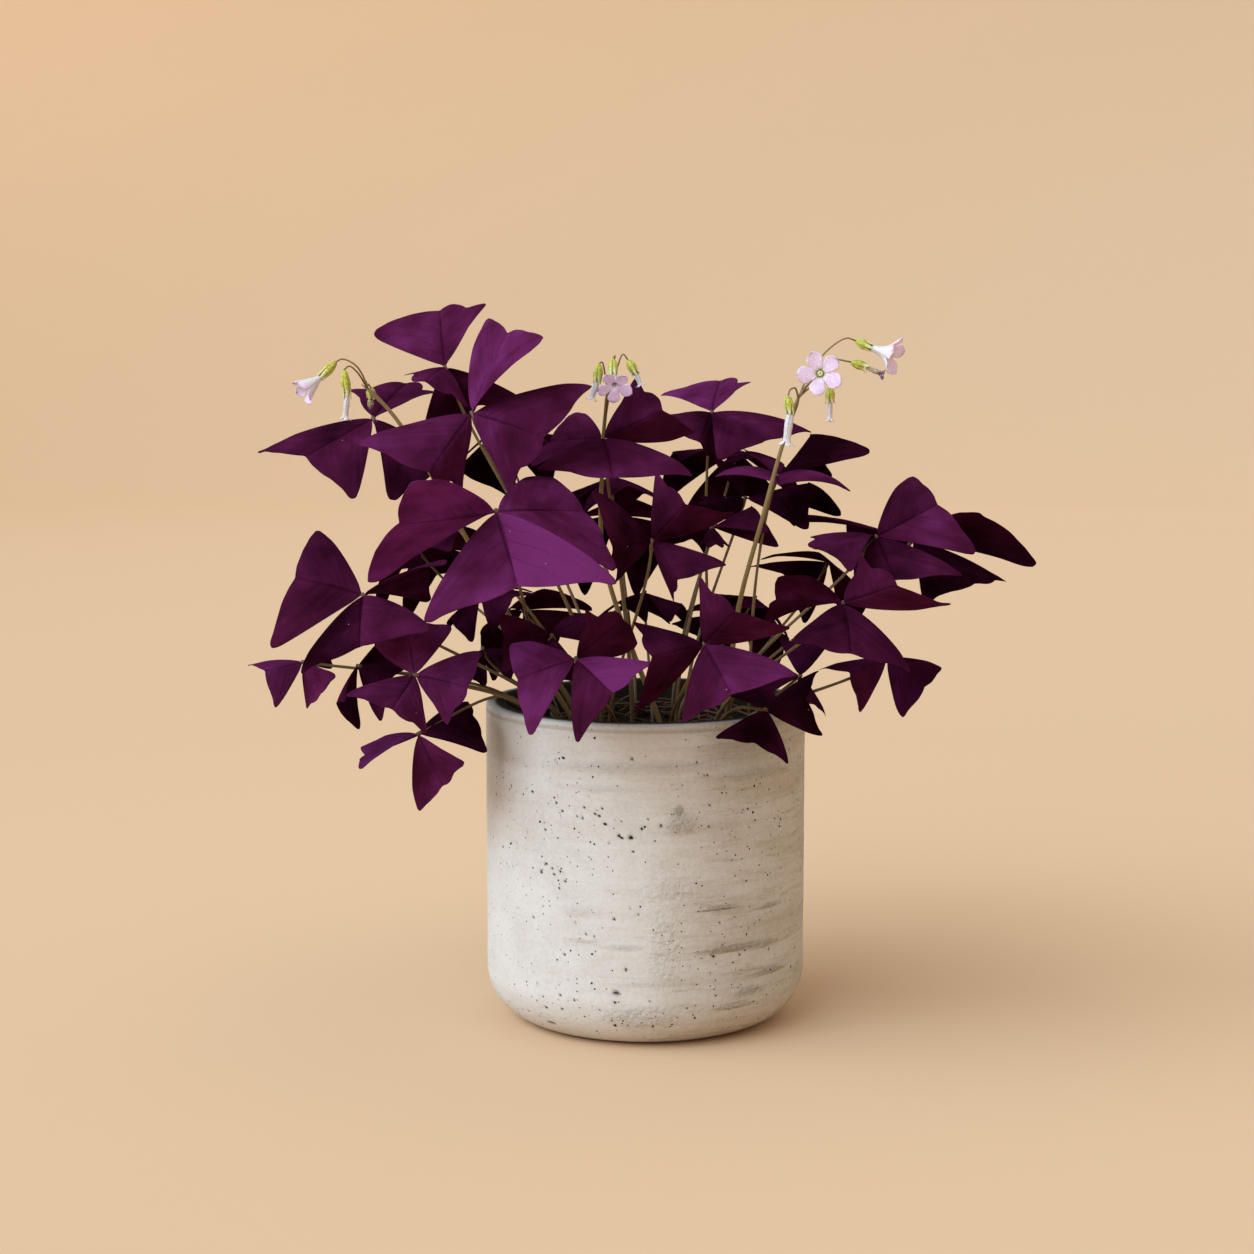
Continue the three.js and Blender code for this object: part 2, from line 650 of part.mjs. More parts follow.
function flowerStalkSolid({ root: [x, y], stem, flowers }) {
  const spots = stem.map((spot) => place(...spot));
  const ground = new THREE.Vector3(x, y, SOIL_TOP);
  const path = new THREE.CurvePath();
  path.add(new THREE.LineCurve3(ground.clone().addScaledVector(UP, -PLANTED_DEPTH), ground));
  path.add(new THREE.CatmullRomCurve3([ground, ...spots]));
  sockets.push(solidOf(tubeAlong(path, SCAPE_RADIUS + CLEARANCE, STALK_SIDES, STEM_STEPS)));
  let solid = solidOf(tubeAlong(path, SCAPE_RADIUS, STALK_SIDES, STEM_STEPS));
  const node = spots.at(-1).clone().sub(spots.at(-2)).setLength(-SCAPE_RADIUS).add(spots.at(-1));
  for (const { pedicel, base, throat } of Object.values(flowers)) {
    const joint = place(...base);
    const bend = [node, ...pedicel.map((spot) => place(...spot)), joint];
    const thread = new THREE.CatmullRomCurve3(bend);
    solid = solid.add(solidOf(tubeAlong(thread, PEDICEL_RADIUS, STALK_SIDES, PEDICEL_STEPS)));
    solid = solid.add(calyxSolid(joint, place(...throat)));
  }
  return solid;
}

// ---- the pot and the soil ----
function arc(centreR, centreZ, radius, from, to, steps) {
  return Array.from({ length: steps + 1 }, (_, i) => {
    const angle = THREE.MathUtils.degToRad(from + ((to - from) * i) / steps);
    return [centreR + radius * Math.cos(angle), centreZ + radius * Math.sin(angle)];
  });
}

const INNER_RADIUS = POT_RADIUS - POT_WALL;
const INNER_CORNER = POT_CORNER - POT_WALL;
const potProfile = [
  [0, 0],
  ...arc(POT_RADIUS - POT_CORNER, POT_CORNER, POT_CORNER, -90, 0, 4),
  ...arc(POT_RADIUS - POT_LIP, POT_HEIGHT - POT_LIP, POT_LIP, 0, 90, 1),
  ...arc(INNER_RADIUS + POT_LIP, POT_HEIGHT - POT_LIP, POT_LIP, 90, 180, 1),
  ...arc(INNER_RADIUS - INNER_CORNER, POT_FLOOR + INNER_CORNER, INNER_CORNER, 0, -90, 3),
  [0, POT_FLOOR],
];
const SOIL_RADIUS = INNER_RADIUS - CLEARANCE;
const SOIL_CORNER = INNER_CORNER;
const soilProfile = [
  [0, POT_FLOOR + CLEARANCE],
  ...arc(SOIL_RADIUS - SOIL_CORNER, POT_FLOOR + CLEARANCE + SOIL_CORNER, SOIL_CORNER, -90, 0, 2),
  [SOIL_RADIUS, SOIL_TOP - SOIL_DOME],
  [0.6 * SOIL_RADIUS, SOIL_TOP - 0.3 * SOIL_DOME],
  [0, SOIL_TOP],
];
const ROUND = 48;
const ORIGIN = new THREE.Vector3();
const potSolid = solidOf(turned(potProfile, ROUND, ORIGIN, UP));

// ---- assembly ----
const plant = new THREE.Group();
plant.name = "purple_shamrock";
function addPiece(name, solid, color, roughness) {
  const material = new THREE.MeshStandardMaterial({ color, roughness, metalness: 0 });
  const mesh = new THREE.Mesh(geometryOf(solid), material);
  mesh.name = name;
  plant.add(mesh);
}

addPiece("pot", potSolid, 0xcbc3ba, 0.9);
for (const [name, leaf] of Object.entries(LEAVES)) {
  addPiece(name, leafSolid(drawnLeaf(leaf)), 0x5e1e52, 0.55);
}
for (const [name, leaf] of Object.entries(BACK_LEAVES)) {
  addPiece(name, leafSolid(backLeaf(leaf)), 0x4a1640, 0.55);
}
for (const [name, stalk] of Object.entries(FLOWER_STALKS)) {
  addPiece(name, flowerStalkSolid(stalk), 0x8f8a45, 0.6);
  for (const [flower, { throat, mouth, radius }] of Object.entries(stalk.flowers)) {
    addPiece(flower, corollaSolid(place(...throat), place(...mouth), radius), 0xddb9e6, 0.6);
  }
}
let soilSolid = solidOf(turned(soilProfile, ROUND / 2, ORIGIN, UP));
for (const socket of sockets) soilSolid = soilSolid.subtract(socket);
addPiece("soil", soilSolid, 0x2b1d14, 1);

export default plant;
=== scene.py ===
"""The looks of a potted purple shamrock (Oxalis triangularis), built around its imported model.

Each leaf is three thin folded blades on one stalk, each flower stalk carries an umbel of pedicels
and calyxes, and every corolla is five petals of its own. The soil and the cast concrete pot are
finer meshes of the same form as the model's. Shapes are worked out in millimetres and made in
metres, in the model's own frame: +Z up, the front facing -Y.
"""
import functools
import math

import bpy
import numpy as np
from bpy.props import FloatProperty, FloatVectorProperty, PointerProperty
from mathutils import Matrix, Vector, noise


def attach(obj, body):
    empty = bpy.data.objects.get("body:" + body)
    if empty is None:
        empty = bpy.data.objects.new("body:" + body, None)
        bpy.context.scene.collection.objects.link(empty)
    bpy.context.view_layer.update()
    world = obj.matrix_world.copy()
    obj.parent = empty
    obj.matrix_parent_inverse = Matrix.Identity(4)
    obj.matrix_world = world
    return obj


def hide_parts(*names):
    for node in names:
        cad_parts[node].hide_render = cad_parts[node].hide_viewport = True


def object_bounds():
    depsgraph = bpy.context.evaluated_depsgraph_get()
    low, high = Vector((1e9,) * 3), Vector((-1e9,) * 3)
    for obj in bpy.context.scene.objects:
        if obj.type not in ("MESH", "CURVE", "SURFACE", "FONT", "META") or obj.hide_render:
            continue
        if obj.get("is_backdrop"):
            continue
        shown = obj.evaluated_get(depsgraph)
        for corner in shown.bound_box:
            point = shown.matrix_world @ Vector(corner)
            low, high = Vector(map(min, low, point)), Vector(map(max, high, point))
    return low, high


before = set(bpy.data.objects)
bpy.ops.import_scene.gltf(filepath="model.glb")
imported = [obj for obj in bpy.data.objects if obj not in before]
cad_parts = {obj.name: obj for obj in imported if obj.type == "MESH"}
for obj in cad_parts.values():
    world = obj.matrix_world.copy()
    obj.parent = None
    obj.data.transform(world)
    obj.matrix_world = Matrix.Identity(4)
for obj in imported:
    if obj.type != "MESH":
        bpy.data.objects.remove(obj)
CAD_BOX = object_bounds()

bl_info = {
    "name": "Potted purple shamrock",
    "version": (1, 0, 0),
    "blender": (4, 5, 0),
    "location": "3D View > Sidebar > Shamrock",
    "description": "Builds the leaves, flowers, soil and pot of a potted purple shamrock",
    "category": "Object",
}

MM = 0.001
TINY = 1e-12
UP = np.array([0.0, 0.0, 1.0])
RIGHT = np.array([1.0, 0.0, 0.0])

# ---- the model's driving dimensions, mm ----
POT_RADIUS = 65
POT_HEIGHT = 130
POT_WALL = 8.7
POT_CORNER = 21.5
POT_FLOOR = 10
POT_LIP = 1.4
SOIL_TOP = 118
SOIL_DOME = 2
CLEARANCE = 0.3
CANOPY_CENTRE = np.array([0.0, 0.0, POT_HEIGHT])

RIB_LENGTH = 0.67  # midrib of a leaflet, as a share of its side
HALF_OPENING = math.pi / 4  # between the midrib and a side of the flat leaflet
FOLD_DOWN = 0.45  # radians that each half hangs below the midrib on a resting leaflet
LEAFLET_SINK = 0.3
OUTWARD_LIFT = 0.7
STALK_RISE = 0.35
STALK_ARRIVAL = 0.3
PLANTED_DEPTH = 7
CLUMP_RADIUS = 40
HUB_HEIGHT = 0.8
USUAL_DOME = 0.06

# ---- the front elevation ----
# The plant is laid out on a perspective elevation, which is also the view of the camera: u runs
# right and v runs down, in drawing units, and a depth in mm (negative towards the viewer) picks
# the place along the line of sight.
EYE = np.array([-7.5, -1070.0, 295.0])
EYE_PITCH = math.radians(7.2)
FOCAL_LENGTH = 2657
DRAWING_CENTRE = 627
SENSOR_MM = 36
EYE_FORWARD = np.array([0.0, math.cos(EYE_PITCH), -math.sin(EYE_PITCH)])
EYE_UP = np.array([0.0, math.sin(EYE_PITCH), math.cos(EYE_PITCH)])

# ---- the leaves ----
# hub: where the three leaflets meet, (u, v, depth). side: the length of a leaflet's side, mm.
# tones: how light each leaflet is painted, 0 to 1, or each of its halves: painted light
# and shade that falls on it, besides its own lightness. root: where the stalk leaves the soil, if
# that isn't the usual place, mm. arch: how far a low leaf's stalk clears the rim, mm.
# leaflets: u and v of a tip, of the other tip and of the end of the midrib, then the lean, -1
# towards the viewer, 1 away and 0 across, and what is special about one, its own side or dome.
LEAVES = {
    "high_left": {
        "hub": (472, 413, -47), "side": 50, "tones": (0.66, 0.46, 0.48),
        "leaflets": (
            (482, 320, 539, 340, 497, 348, 3), (357, 442, 459, 491, 425, 472, -1),
            (591, 383, 512, 494, 543, 441, -1),
        ),
    },
    "high_left_back": {
        "hub": (445, 367, 12), "side": 44, "tones": (0.5, 0.4, 0.4),
        "leaflets": (
            (370, 333, 489, 306, 435, 333, 1), (404, 381, 466, 412, 431, 393, -1),
        ),
    },
    "upper_far_left": {
        "hub": (373, 418, 1), "side": 50, "tones": ((0.28, 0.36), 0.36, 0.28),
        "leaflets": (
            (257, 449, 355, 498, 307, 468, -1), (348, 396, 439, 398, 390, 385, 1),
            (391, 498, 455, 470, 420, 466, -1),
        ),
    },
    "big_front": {
        "hub": (496, 511, -92), "side": 56, "tones": (0.8, (0.6, 0.96), 0.55), "root": (-42, -30),
        "leaflets": (
            (419, 475, 369, 580, 407, 516, 1), (422, 622, 619, 580, 520, 592, -1),
            (540, 472, 615, 572, 579, 515, 1),
        ),
    },
    "high_middle": {
        "hub": (603, 438, -17), "side": 50, "tones": ((0.42, 0.48), 0.42, 0.4),
        "leaflets": (
            (532, 471, 697, 473, 609, 478, -1), (637, 378, 696, 436, 670, 420, 1, {"side": 40}),
            (577, 410, 532, 469, 558, 440, 0, {"side": 38}),
        ),
    },
    "high_back": {
        "hub": (712, 412, 35), "side": 46, "tones": (0.6, 0.3, 0.28), "root": (27, 31),
        "leaflets": (
            (659, 398, 754, 388, 708, 396, 1), (812, 431, 719, 457, 769, 445, -1),
            (715, 465, 650, 420, 690, 440, -1),
        ),
    },
    "upper_right": {
        "hub": (777, 476, -3), "side": 42, "tones": (0.5, 0.3, -0.05), "root": (42, -4),
        "leaflets": (
            (713, 479, 853, 490, 783, 504, -1, {"dome": 0.16}),
            (746, 459, 784, 463, 768, 463, 1, {"side": 32}),
            (871, 451, 829, 478, 848, 465, 1, {"side": 38}),
        ),
    },
    "upper_right_under": {
        "hub": (745, 498, 19), "side": 36, "tones": (0, 0, 0.1),
        "leaflets": (
            (806, 529, 840, 513, 801, 512, 0, {"side": 42}), (700, 500, 730, 530, 712, 512, -1),
            (714, 460, 746, 461, 730, 474, 0, {"side": 18}),
        ),
    },
    "middle": {
        "hub": (652, 541, -62), "side": 33, "tones": (0.2, 0.28, 0.26), "root": (-15, -29),
        "leaflets": (
            (594, 489, 614, 582, 608, 557, 0), (657, 472, 735, 516, 691, 505, 1),
            (727, 564, 676, 601, 686, 577, -1),
        ),
    },
    "far_left": {
        "hub": (363, 595, -42), "side": 42, "tones": (0.34, (0.04, 0.3), 0.34),
        "leaflets": (
            (318, 528, 271, 649, 296, 584, 0), (299, 672, 430, 626, 370, 642, -1),
            (446, 561, 427, 600, 425, 580, 1),
        ),
    },
    "low_left": {
        "hub": (415, 675, -62), "side": 31, "tones": (0.58, 0.56, (0.4, 0.54)), "arch": 4,
        "leaflets": (
            (372, 643, 453, 627, 413, 635, 1), (481, 650, 447, 726, 464, 686, 0),
            (345, 694, 426, 735, 389, 713, -1),
        ),
    },
    "lowest_far_left": {
        "hub": (303, 662, -6), "side": 24, "tones": (0.6, 0.5, 0.35), "arch": 4,
        "leaflets": (
            (248, 663, 276, 708, 266, 683, -1), (307, 708, 334, 674, 322, 690, -1),
        ),
    },
    "hanging_left": {
        "hub": (418, 734, -38), "side": 34, "tones": (0.6, 0.5, 0.12), "arch": 5,
        "leaflets": (
            (361, 768, 366, 742, 376, 752, 0), (415, 811, 465, 761, 450, 783, -1),
            (486, 753, 465, 700, 470, 722, 1),
        ),
    },
    "low_left_back": {
        "hub": (358, 666, -30), "side": 26, "tones": (0.25, 0.08, 0.15), "arch": 4,
        "leaflets": (
            (358, 728, 345, 700, 352, 700, -1), (395, 672, 388, 640, 385, 655, 1),
        ),
    },
    "rim_front": {
        "hub": (576, 659, -92), "side": 35, "tones": (0.66, (0.46, 0.86), 0.24),
        "leaflets": (
            (511, 641, 531, 736, 525, 682, 0), (576, 743, 653, 664, 617, 699, -1),
            (584, 609, 637, 649, 610, 630, 1),
        ),
    },
    "rim_middle": {
        "hub": (704, 644, -84), "side": 38, "tones": (0.4, (0.6, 0.46), 0.2),
        "leaflets": (
            (702, 575, 791, 628, 734, 612, 1), (797, 672, 683, 724, 737, 696, -1),
            (632, 623, 636, 715, 654, 661, 0),
        ),
    },
    "rim_right": {
        "hub": (766, 710, -66), "side": 26, "tones": (0.06, 0, 0.1), "arch": 4,
        "leaflets": (
            (715, 738, 789, 764, 753, 750, -1), (822, 737, 817, 669, 817, 701, 0),
        ),
    },
    "right_front": {
        "hub": (843, 603, -62), "side": 39, "tones": (0.4, (0.26, 0.32), 0.4),
        "leaflets": (
            (785, 570, 767, 623, 778, 599, 0), (790, 643, 912, 670, 846, 654, -1),
            (862, 552, 951, 608, 895, 585, 1),
        ),
    },
    "right_high": {
        "hub": (876, 537, -28), "side": 42, "tones": ((0.25, 0.42), 0.34, 0.3),
        "leaflets": (
            (908, 474, 976, 553, 936, 514, 1), (812, 547, 852, 568, 828, 557, -1, {"dome": 0.14}),
            (964, 574, 855, 572, 892, 580, -1),
        ),
    },
    "far_right": {
        "hub": (912, 541, 30), "side": 52, "tones": (0.2, 0.08, 0.1),
        "leaflets": (
            (1036, 564, 945, 515, 987, 548, 0), (1005, 583, 925, 600, 965, 577, -1),
        ),
    },
    "right_low": {
        "hub": (887, 658, -26), "side": 28, "tones": (0.32, 0.32, 0.25),
        "leaflets": (
            (860, 713, 819, 668, 846, 684, -1), (901, 718, 942, 666, 916, 693, -1),
        ),
    },
    "right_inner": {
        "hub": (800, 676, -32), "side": 21, "tones": (0.2, 0.2, 0.15), "root": (39, -22),
        "leaflets": (
            (826, 716, 790, 700, 808, 702, -1), (780, 640, 830, 640, 805, 648, 1),
        ),
    },
    "front_inner": {
        "hub": (552, 636, -58), "side": 27, "tones": (0.3, 0.2, 0.15),
        "leaflets": (
            (500, 612, 505, 672, 508, 642, 0), (530, 700, 585, 680, 556, 684, -1),
        ),
    },
    "middle_right": {
        "hub": (712, 527, 0), "side": 27, "tones": (0.3, 0.15, 0.15),
        "leaflets": (
            (768, 532, 778, 547, 760, 537, 0), (700, 548, 728, 549, 714, 545, -1),
        ),
    },
}

# Leaves at the back and in the middle, with the hub laid out in mm. heading is the turn of the
# first leaflet, and droop tips the leaf outwards, both in degrees.
BACK_LEAVES = {
    "back_high_left": {"hub": (-62, 62, 236), "side": 42, "heading": 20, "droop": 25},
    "back_high_right": {"hub": (40, 82, 226), "side": 42, "heading": 70, "droop": 30},
    "back_middle": {"hub": (-12, 104, 196), "side": 40, "heading": 40, "droop": 40},
    "back_left": {"hub": (-98, 66, 186), "side": 38, "heading": 95, "droop": 40},
    "back_right": {"hub": (80, 80, 178), "side": 36, "heading": 10, "droop": 38, "root": (35, 24)},
    "back_low_left": {"hub": (-54, 104, 154), "side": 34, "heading": 60, "droop": 48, "arch": 4},
    "back_low_right": {"hub": (44, 108, 150), "side": 34, "heading": 15, "droop": 48, "arch": 4},
    "inner_top": {"hub": (-14, 42, 218), "side": 32, "heading": 50, "droop": 10},
    "inner_middle": {"hub": (0, 44, 169), "side": 25, "heading": 105, "droop": 9, "root": (3, 5)},
    "inner_right": {"hub": (46, 34, 168), "side": 25, "heading": 54, "droop": 29, "root": (14, 16)},
    "inner_left": {"hub": (-65, -33, 179), "side": 25, "heading": 80, "droop": 25},
    "inner_low": {
        "hub": (-67, 14, 149), "side": 26, "heading": 101, "droop": 14, "root": (-34, 11),
    },
}
# The leaves at the back and inside the clump are painted dark by these tones: painted shade.
BACK_LEAF_SHADE = (0.06, -0.02, 0.1)

# ---- the flower stalks ----
# Places are (u, v, depth), and root is in mm. stem runs from above the soil to the top, where the
# pedicels part.
FLOWER_STALKS = {
    "right": {
        "root": (32, -16),
        "stem": ((738, 611, -36), (762, 520, -44), (781, 450, -46), (799, 396, -46)),
    },
    "left": {
        "root": (-27, -3),
        "stem": ((500, 600, -12), (440, 490, -24), (394, 416, -27), (366, 387, -26)),
    },
    "middle": {
        "root": (7, -3),
        "stem": ((604, 560, -6), (602, 470, -9), (604, 428, -6), (608, 392, -14)),
    },
}

# Each flower hangs on its own pedicel from the stalk that its name starts with, with a calyx from
# base to throat and a corolla from throat to mouth. radius is the corolla's at the mouth, and
# crumple how far its skin is pushed, mm. roll turns it and twist winds its petals, in radians.
# open_tips spreads the sepals, and skin and slot stand where they aren't those of its form.
FLOWERS = {
    "right_hanging": {
        "form": "furled", "radius": 2.6, "roll": 0.3, "twist": 0.5,
        "pedicel": ((795, 388, -49), (790, 390, -51)), "base": (788, 396, -52),
        "throat": (790, 414, -53), "mouth": (786, 446, -53),
    },
    "right_open": {
        "form": "open", "radius": 9, "roll": 0.42, "stamens": True,
        "pedicel": ((806, 386, -45),), "base": (815, 379, -45), "throat": (818, 375, -51),
        "mouth": (821, 373, -61),
    },
    "right_small": {
        "form": "furled", "radius": 1.6, "roll": 0.0, "twist": 0.9, "open_tips": 0.3,
        "pedicel": ((808, 389, -43), (822, 380, -39)), "base": (830, 387, -38),
        "throat": (830, 402, -38), "mouth": (830, 422, -39),
    },
    "right_trumpet": {
        "form": "trumpet", "radius": 8, "roll": 0.0, "stamens": True,
        "pedicel": ((810, 372, -42), (830, 348, -40), (847, 338, -40)), "base": (856, 341, -40),
        "throat": (872, 348, -42), "mouth": (897, 357, -46),
    },
    "right_withered": {
        "form": "furled", "radius": 1.5, "roll": 0.5, "twist": 2.2, "crumple": 0.9,
        "open_tips": 0.5, "skin": "withered", "slot": "withered_petal",
        "pedicel": ((812, 380, -41), (832, 360, -36)), "base": (851, 362, -34),
        "throat": (866, 367, -34), "mouth": (884, 375, -34),
    },
    "left_trumpet": {
        "form": "funnel", "radius": 5.5, "roll": 0.4,
        "pedicel": ((362, 374, -28), (354, 364, -30), (342, 359, -31)), "base": (336, 362, -32),
        "throat": (321, 377, -34), "mouth": (301, 393, -38),
    },
    "left_hanging": {
        "form": "furled", "radius": 1.9, "roll": 0.0, "twist": 0.7,
        "pedicel": ((357, 372, -34), (349, 366, -36)), "base": (344, 370, -37),
        "throat": (347, 396, -37), "mouth": (345, 420, -37),
    },
    "left_bud": {
        "form": "bud", "radius": 1.2, "roll": 0.0, "twist": 1.6,
        "pedicel": ((368, 384, -22),), "base": (371, 388, -20), "throat": (371, 398, -19),
        "mouth": (370, 410, -19),
    },
    "middle_left": {
        "form": "furled", "radius": 1.9, "roll": 0.8, "twist": 0.6,
        "pedicel": ((605, 374, -22), (602, 362, -23)), "base": (599, 364, -24),
        "throat": (597, 382, -25), "mouth": (591, 400, -25),
    },
    "middle_open": {
        # Its pale skin is lighter and more lilac than the other petals: partly its own colour,
        # partly painted light on a flower that hangs in shade.
        "form": "open", "radius": 7, "roll": 0.6, "skin": "pale",
        "pedicel": ((611, 372, -18), (615, 356, -20)), "base": (613, 359, -24),
        "throat": (613, 376, -29), "mouth": (615, 388, -37),
    },
    "middle_right": {
        "form": "furled", "radius": 1.6, "roll": 0.0, "twist": 0.8,
        "pedicel": ((617, 368, -17), (623, 354, -17)), "base": (628, 360, -17),
        "throat": (636, 374, -18), "mouth": (641, 386, -18),
    },
}

# ---- colours and user settings ----
def linear(hex_colour):
    """A linear RGB triple from an sRGB hex colour."""
    channels = [int(hex_colour[i:i + 2], 16) / 255 for i in (1, 3, 5)]
    return tuple(c / 12.92 if c <= 0.04045 else ((c + 0.055) / 1.055) ** 2.4 for c in channels)


def colour(name, description, hex_colour):
    return FloatVectorProperty(
        name=name, description=description, default=linear(hex_colour),
        size=3, min=0, max=1, subtype="COLOR",
    )


def length(name, description, millimetres):
    return FloatProperty(
        name=name, description=description, default=millimetres * MM,
        min=0, precision=5, unit="LENGTH", subtype="DISTANCE",
    )


class LeafSettings(bpy.types.PropertyGroup):
    """Sizes and colours of the leaves"""
    blade_thickness: length("Blade thickness", "Thickness of a leaflet", 0.4)
    groove: length("Midrib groove", "Depth of the crease along the midrib", 0.35)
    ripple: length("Ripple", "Height of the soft folds that fan out from the hub", 0.07)
    wave: length("Margin wave", "Height of the slow waves along the margin", 0.32)
    stalk_foot: length("Stalk foot", "Radius of a leaf stalk at the soil", 0.72)
    stalk_top: length("Stalk top", "Radius of a leaf stalk below its leaf", 0.55)
    hub: length("Hub", "Radius of the swelling where the leaflets meet", 1.0)
    # Each face mixes towards its light colour where a leaflet's tone paints light on it and towards
    # its deep colour where the tone paints shade: painted light and shade, besides patches of its
    # own colour.
    blade_light: colour("Blade, light", "Upper face where it is lightest", "#6C2961")
    blade: colour("Blade", "Upper face of a usual leaflet", "#441330")
    blade_deep: colour("Blade, deep", "Upper face where it is darkest", "#140308")
    under_light: colour("Underside, light", "Lower face where it is lightest", "#722A74")
    under: colour("Underside", "Lower face of a usual leaflet", "#3A0F2C")
    under_deep: colour("Underside, deep", "Lower face where it is darkest", "#120206")
    vein: colour("Veins", "Midrib and fan veins", "#1E0614")
    stalk: colour("Stalk", "Skin of a leaf stalk", "#6F5838")
    stalk_red: colour("Stalk flush", "Red flush on a leaf stalk", "#5A3C2E")


class FlowerSettings(bpy.types.PropertyGroup):
    """Sizes and colours of the flowers"""
    scape_foot: length("Stem foot", "Radius of a flower stalk at the soil", 1.15)
    scape_top: length("Stem top", "Radius of a flower stalk below its flowers", 0.72)
    pedicel: length("Pedicel", "Radius of the thread that a flower hangs on", 0.34)
    calyx: length("Calyx", "Radius of a calyx", 1.7)
    petal_thickness: length("Petal thickness", "Thickness of a petal", 0.2)
    petal: colour("Petal", "Lobe of a petal", "#E4CAF2")
    petal_tube: colour("Petal tube", "Tube of a corolla, outside", "#D6CED1")
    eye: colour("Eye", "Inside of a corolla's tube", "#8F9433")
    sepal: colour("Sepal", "Sepals", "#C6C54A")
    sepal_tip: colour("Sepal tip", "Pale end of the sepals", "#E2E2B8")
    sepal_deep: colour("Sepal, deep", "Darker mottling of the sepals", "#84842A")
    withered: colour("Withered petal", "A corolla that is over", "#6E4A66")
    scape: colour("Flower stem", "Skin of a flower stalk", "#836F45")


class PotSettings(bpy.types.PropertyGroup):
    """Sizes and colours of the pot and its soil"""
    front_step: length("Front step", "Mesh step round the front of the pot", 0.62)
    back_step: length("Back step", "Mesh step round the back of the pot", 1.9)
    row_step: length("Row step", "Mesh step up the outside of the pot", 0.75)
    unevenness: length("Unevenness", "Height of the slow waves of the cast wall", 0.3)
    concrete: colour("Concrete", "Cast concrete", "#D3D1CF")
    # concrete_grey is mixed into the streaks and clouds, and over the right side of the pot as
    # painted shade.
    concrete_grey: colour("Concrete, grey", "Trowel streaks in the concrete", "#A49886")
    # pit is painted shade inside the pits, and also the colour of stains and of painted shadows on
    # the wall.
    pit: colour("Pit", "Inside of an air pit", "#2E251D")
    soil: colour("Soil", "Potting soil", "#221710")
    soil_light: colour("Soil fibre", "Bits of fibre in the soil", "#6B4E33")


class StageSettings(bpy.types.PropertyGroup):
    """The floor and the light"""
    floor: colour("Floor", "Painted studio floor and wall", "#DCBA97")
    key_colour: colour("Key colour", "Colour of the windows' light", "#D3EBFC")
    key_strength: FloatProperty(
        name="Key light", description="Strength of the windows' light", default=4.15, min=0,
    )
    room: colour("Room colour", "Colour of the even light from all round", "#FFFAF3")
    room_strength: FloatProperty(
        name="Room light", description="Strength of the even light", default=0.73, min=0,
    )


# ---- vectors and curves, mm ----
def unit(vector):
    return vector / np.linalg.norm(vector)


def smooth_step(x):
    x = np.clip(x, 0, 1)
    return x * x * (3 - 2 * x)


def smooth_curve(points, per_span):
    """Points of the centripetal Catmull-Rom curve through the given ones."""
    p = np.array(points, float)
    p = np.vstack([2 * p[0] - p[1], p, 2 * p[-1] - p[-2]])
    shares = np.arange(per_span)[:, None] / per_span
    spans = []
    for i in range(1, len(p) - 2):
        gaps = [math.sqrt(np.linalg.norm(p[k + 1] - p[k])) for k in (i - 1, i, i + 1)]
        steps = np.diff(p[i - 1:i + 3], axis=0)
        slopes = [steps[k] / gaps[k] for k in range(3)]
        across = [(steps[k] + steps[k + 1]) / (gaps[k] + gaps[k + 1]) for k in range(2)]
        leave = (slopes[0] - across[0] + slopes[1]) * gaps[1]
        arrive = (slopes[1] - across[1] + slopes[2]) * gaps[1]
        squared = -3 * p[i] + 3 * p[i + 1] - 2 * leave - arrive
        cubed = 2 * p[i] - 2 * p[i + 1] + leave + arrive
        spans.append(p[i] + shares * leave + shares ** 2 * squared + shares ** 3 * cubed)
    return np.vstack(spans + [p[-2:-1]])


def bezier(start, bend, arrive, end, count):
    """Points of the cubic curve from start to end that bend and arrive pull at."""
    t = np.linspace(0, 1, count)[:, None]
    return (
        (1 - t) ** 3 * start + 3 * t * (1 - t) ** 2 * bend
        + 3 * t ** 2 * (1 - t) * arrive + t ** 3 * end
    )


def evenly(path, count):
    """The path again, with count points at even distances."""
    walked = np.concatenate([[0], np.cumsum(np.linalg.norm(np.diff(path, axis=0), axis=1))])
    stops = np.linspace(0, walked[-1], count)
    return np.stack([np.interp(stops, walked, path[:, k]) for k in range(3)], axis=1)


def place(u, v, depth):
    """The place in the model, mm, that the elevation draws at u, v and that depth."""
    sight = EYE_FORWARD + RIGHT * (u - DRAWING_CENTRE) / FOCAL_LENGTH
    sight = sight + EYE_UP * (DRAWING_CENTRE - v) / FOCAL_LENGTH
    return EYE + sight * (depth - EYE[1]) / sight[1]


def drawn(point):
    """Where the elevation draws a place, u and v."""
    ray = point - EYE
    distance = ray @ EYE_FORWARD
    right = DRAWING_CENTRE + FOCAL_LENGTH * ray[0] / distance
    return np.array([right, DRAWING_CENTRE - FOCAL_LENGTH * (ray @ EYE_UP) / distance])


# ---- the form of a leaf, as the model has it ----
SENSES = (-1, -0.75, -0.5, -0.25, 0, 0.25, 0.5, 0.75, 1)
MISS_TOLERANCE = 12
USUAL_OPENING = 1.35
OPENING_TOLERANCE = 0.3
LEAN_WEIGHT = 1.2
EDGE_ON_WEIGHT = 0.5


def angle_between(a, b):
    return math.acos(max(-1, min(1, unit(a) @ unit(b))))


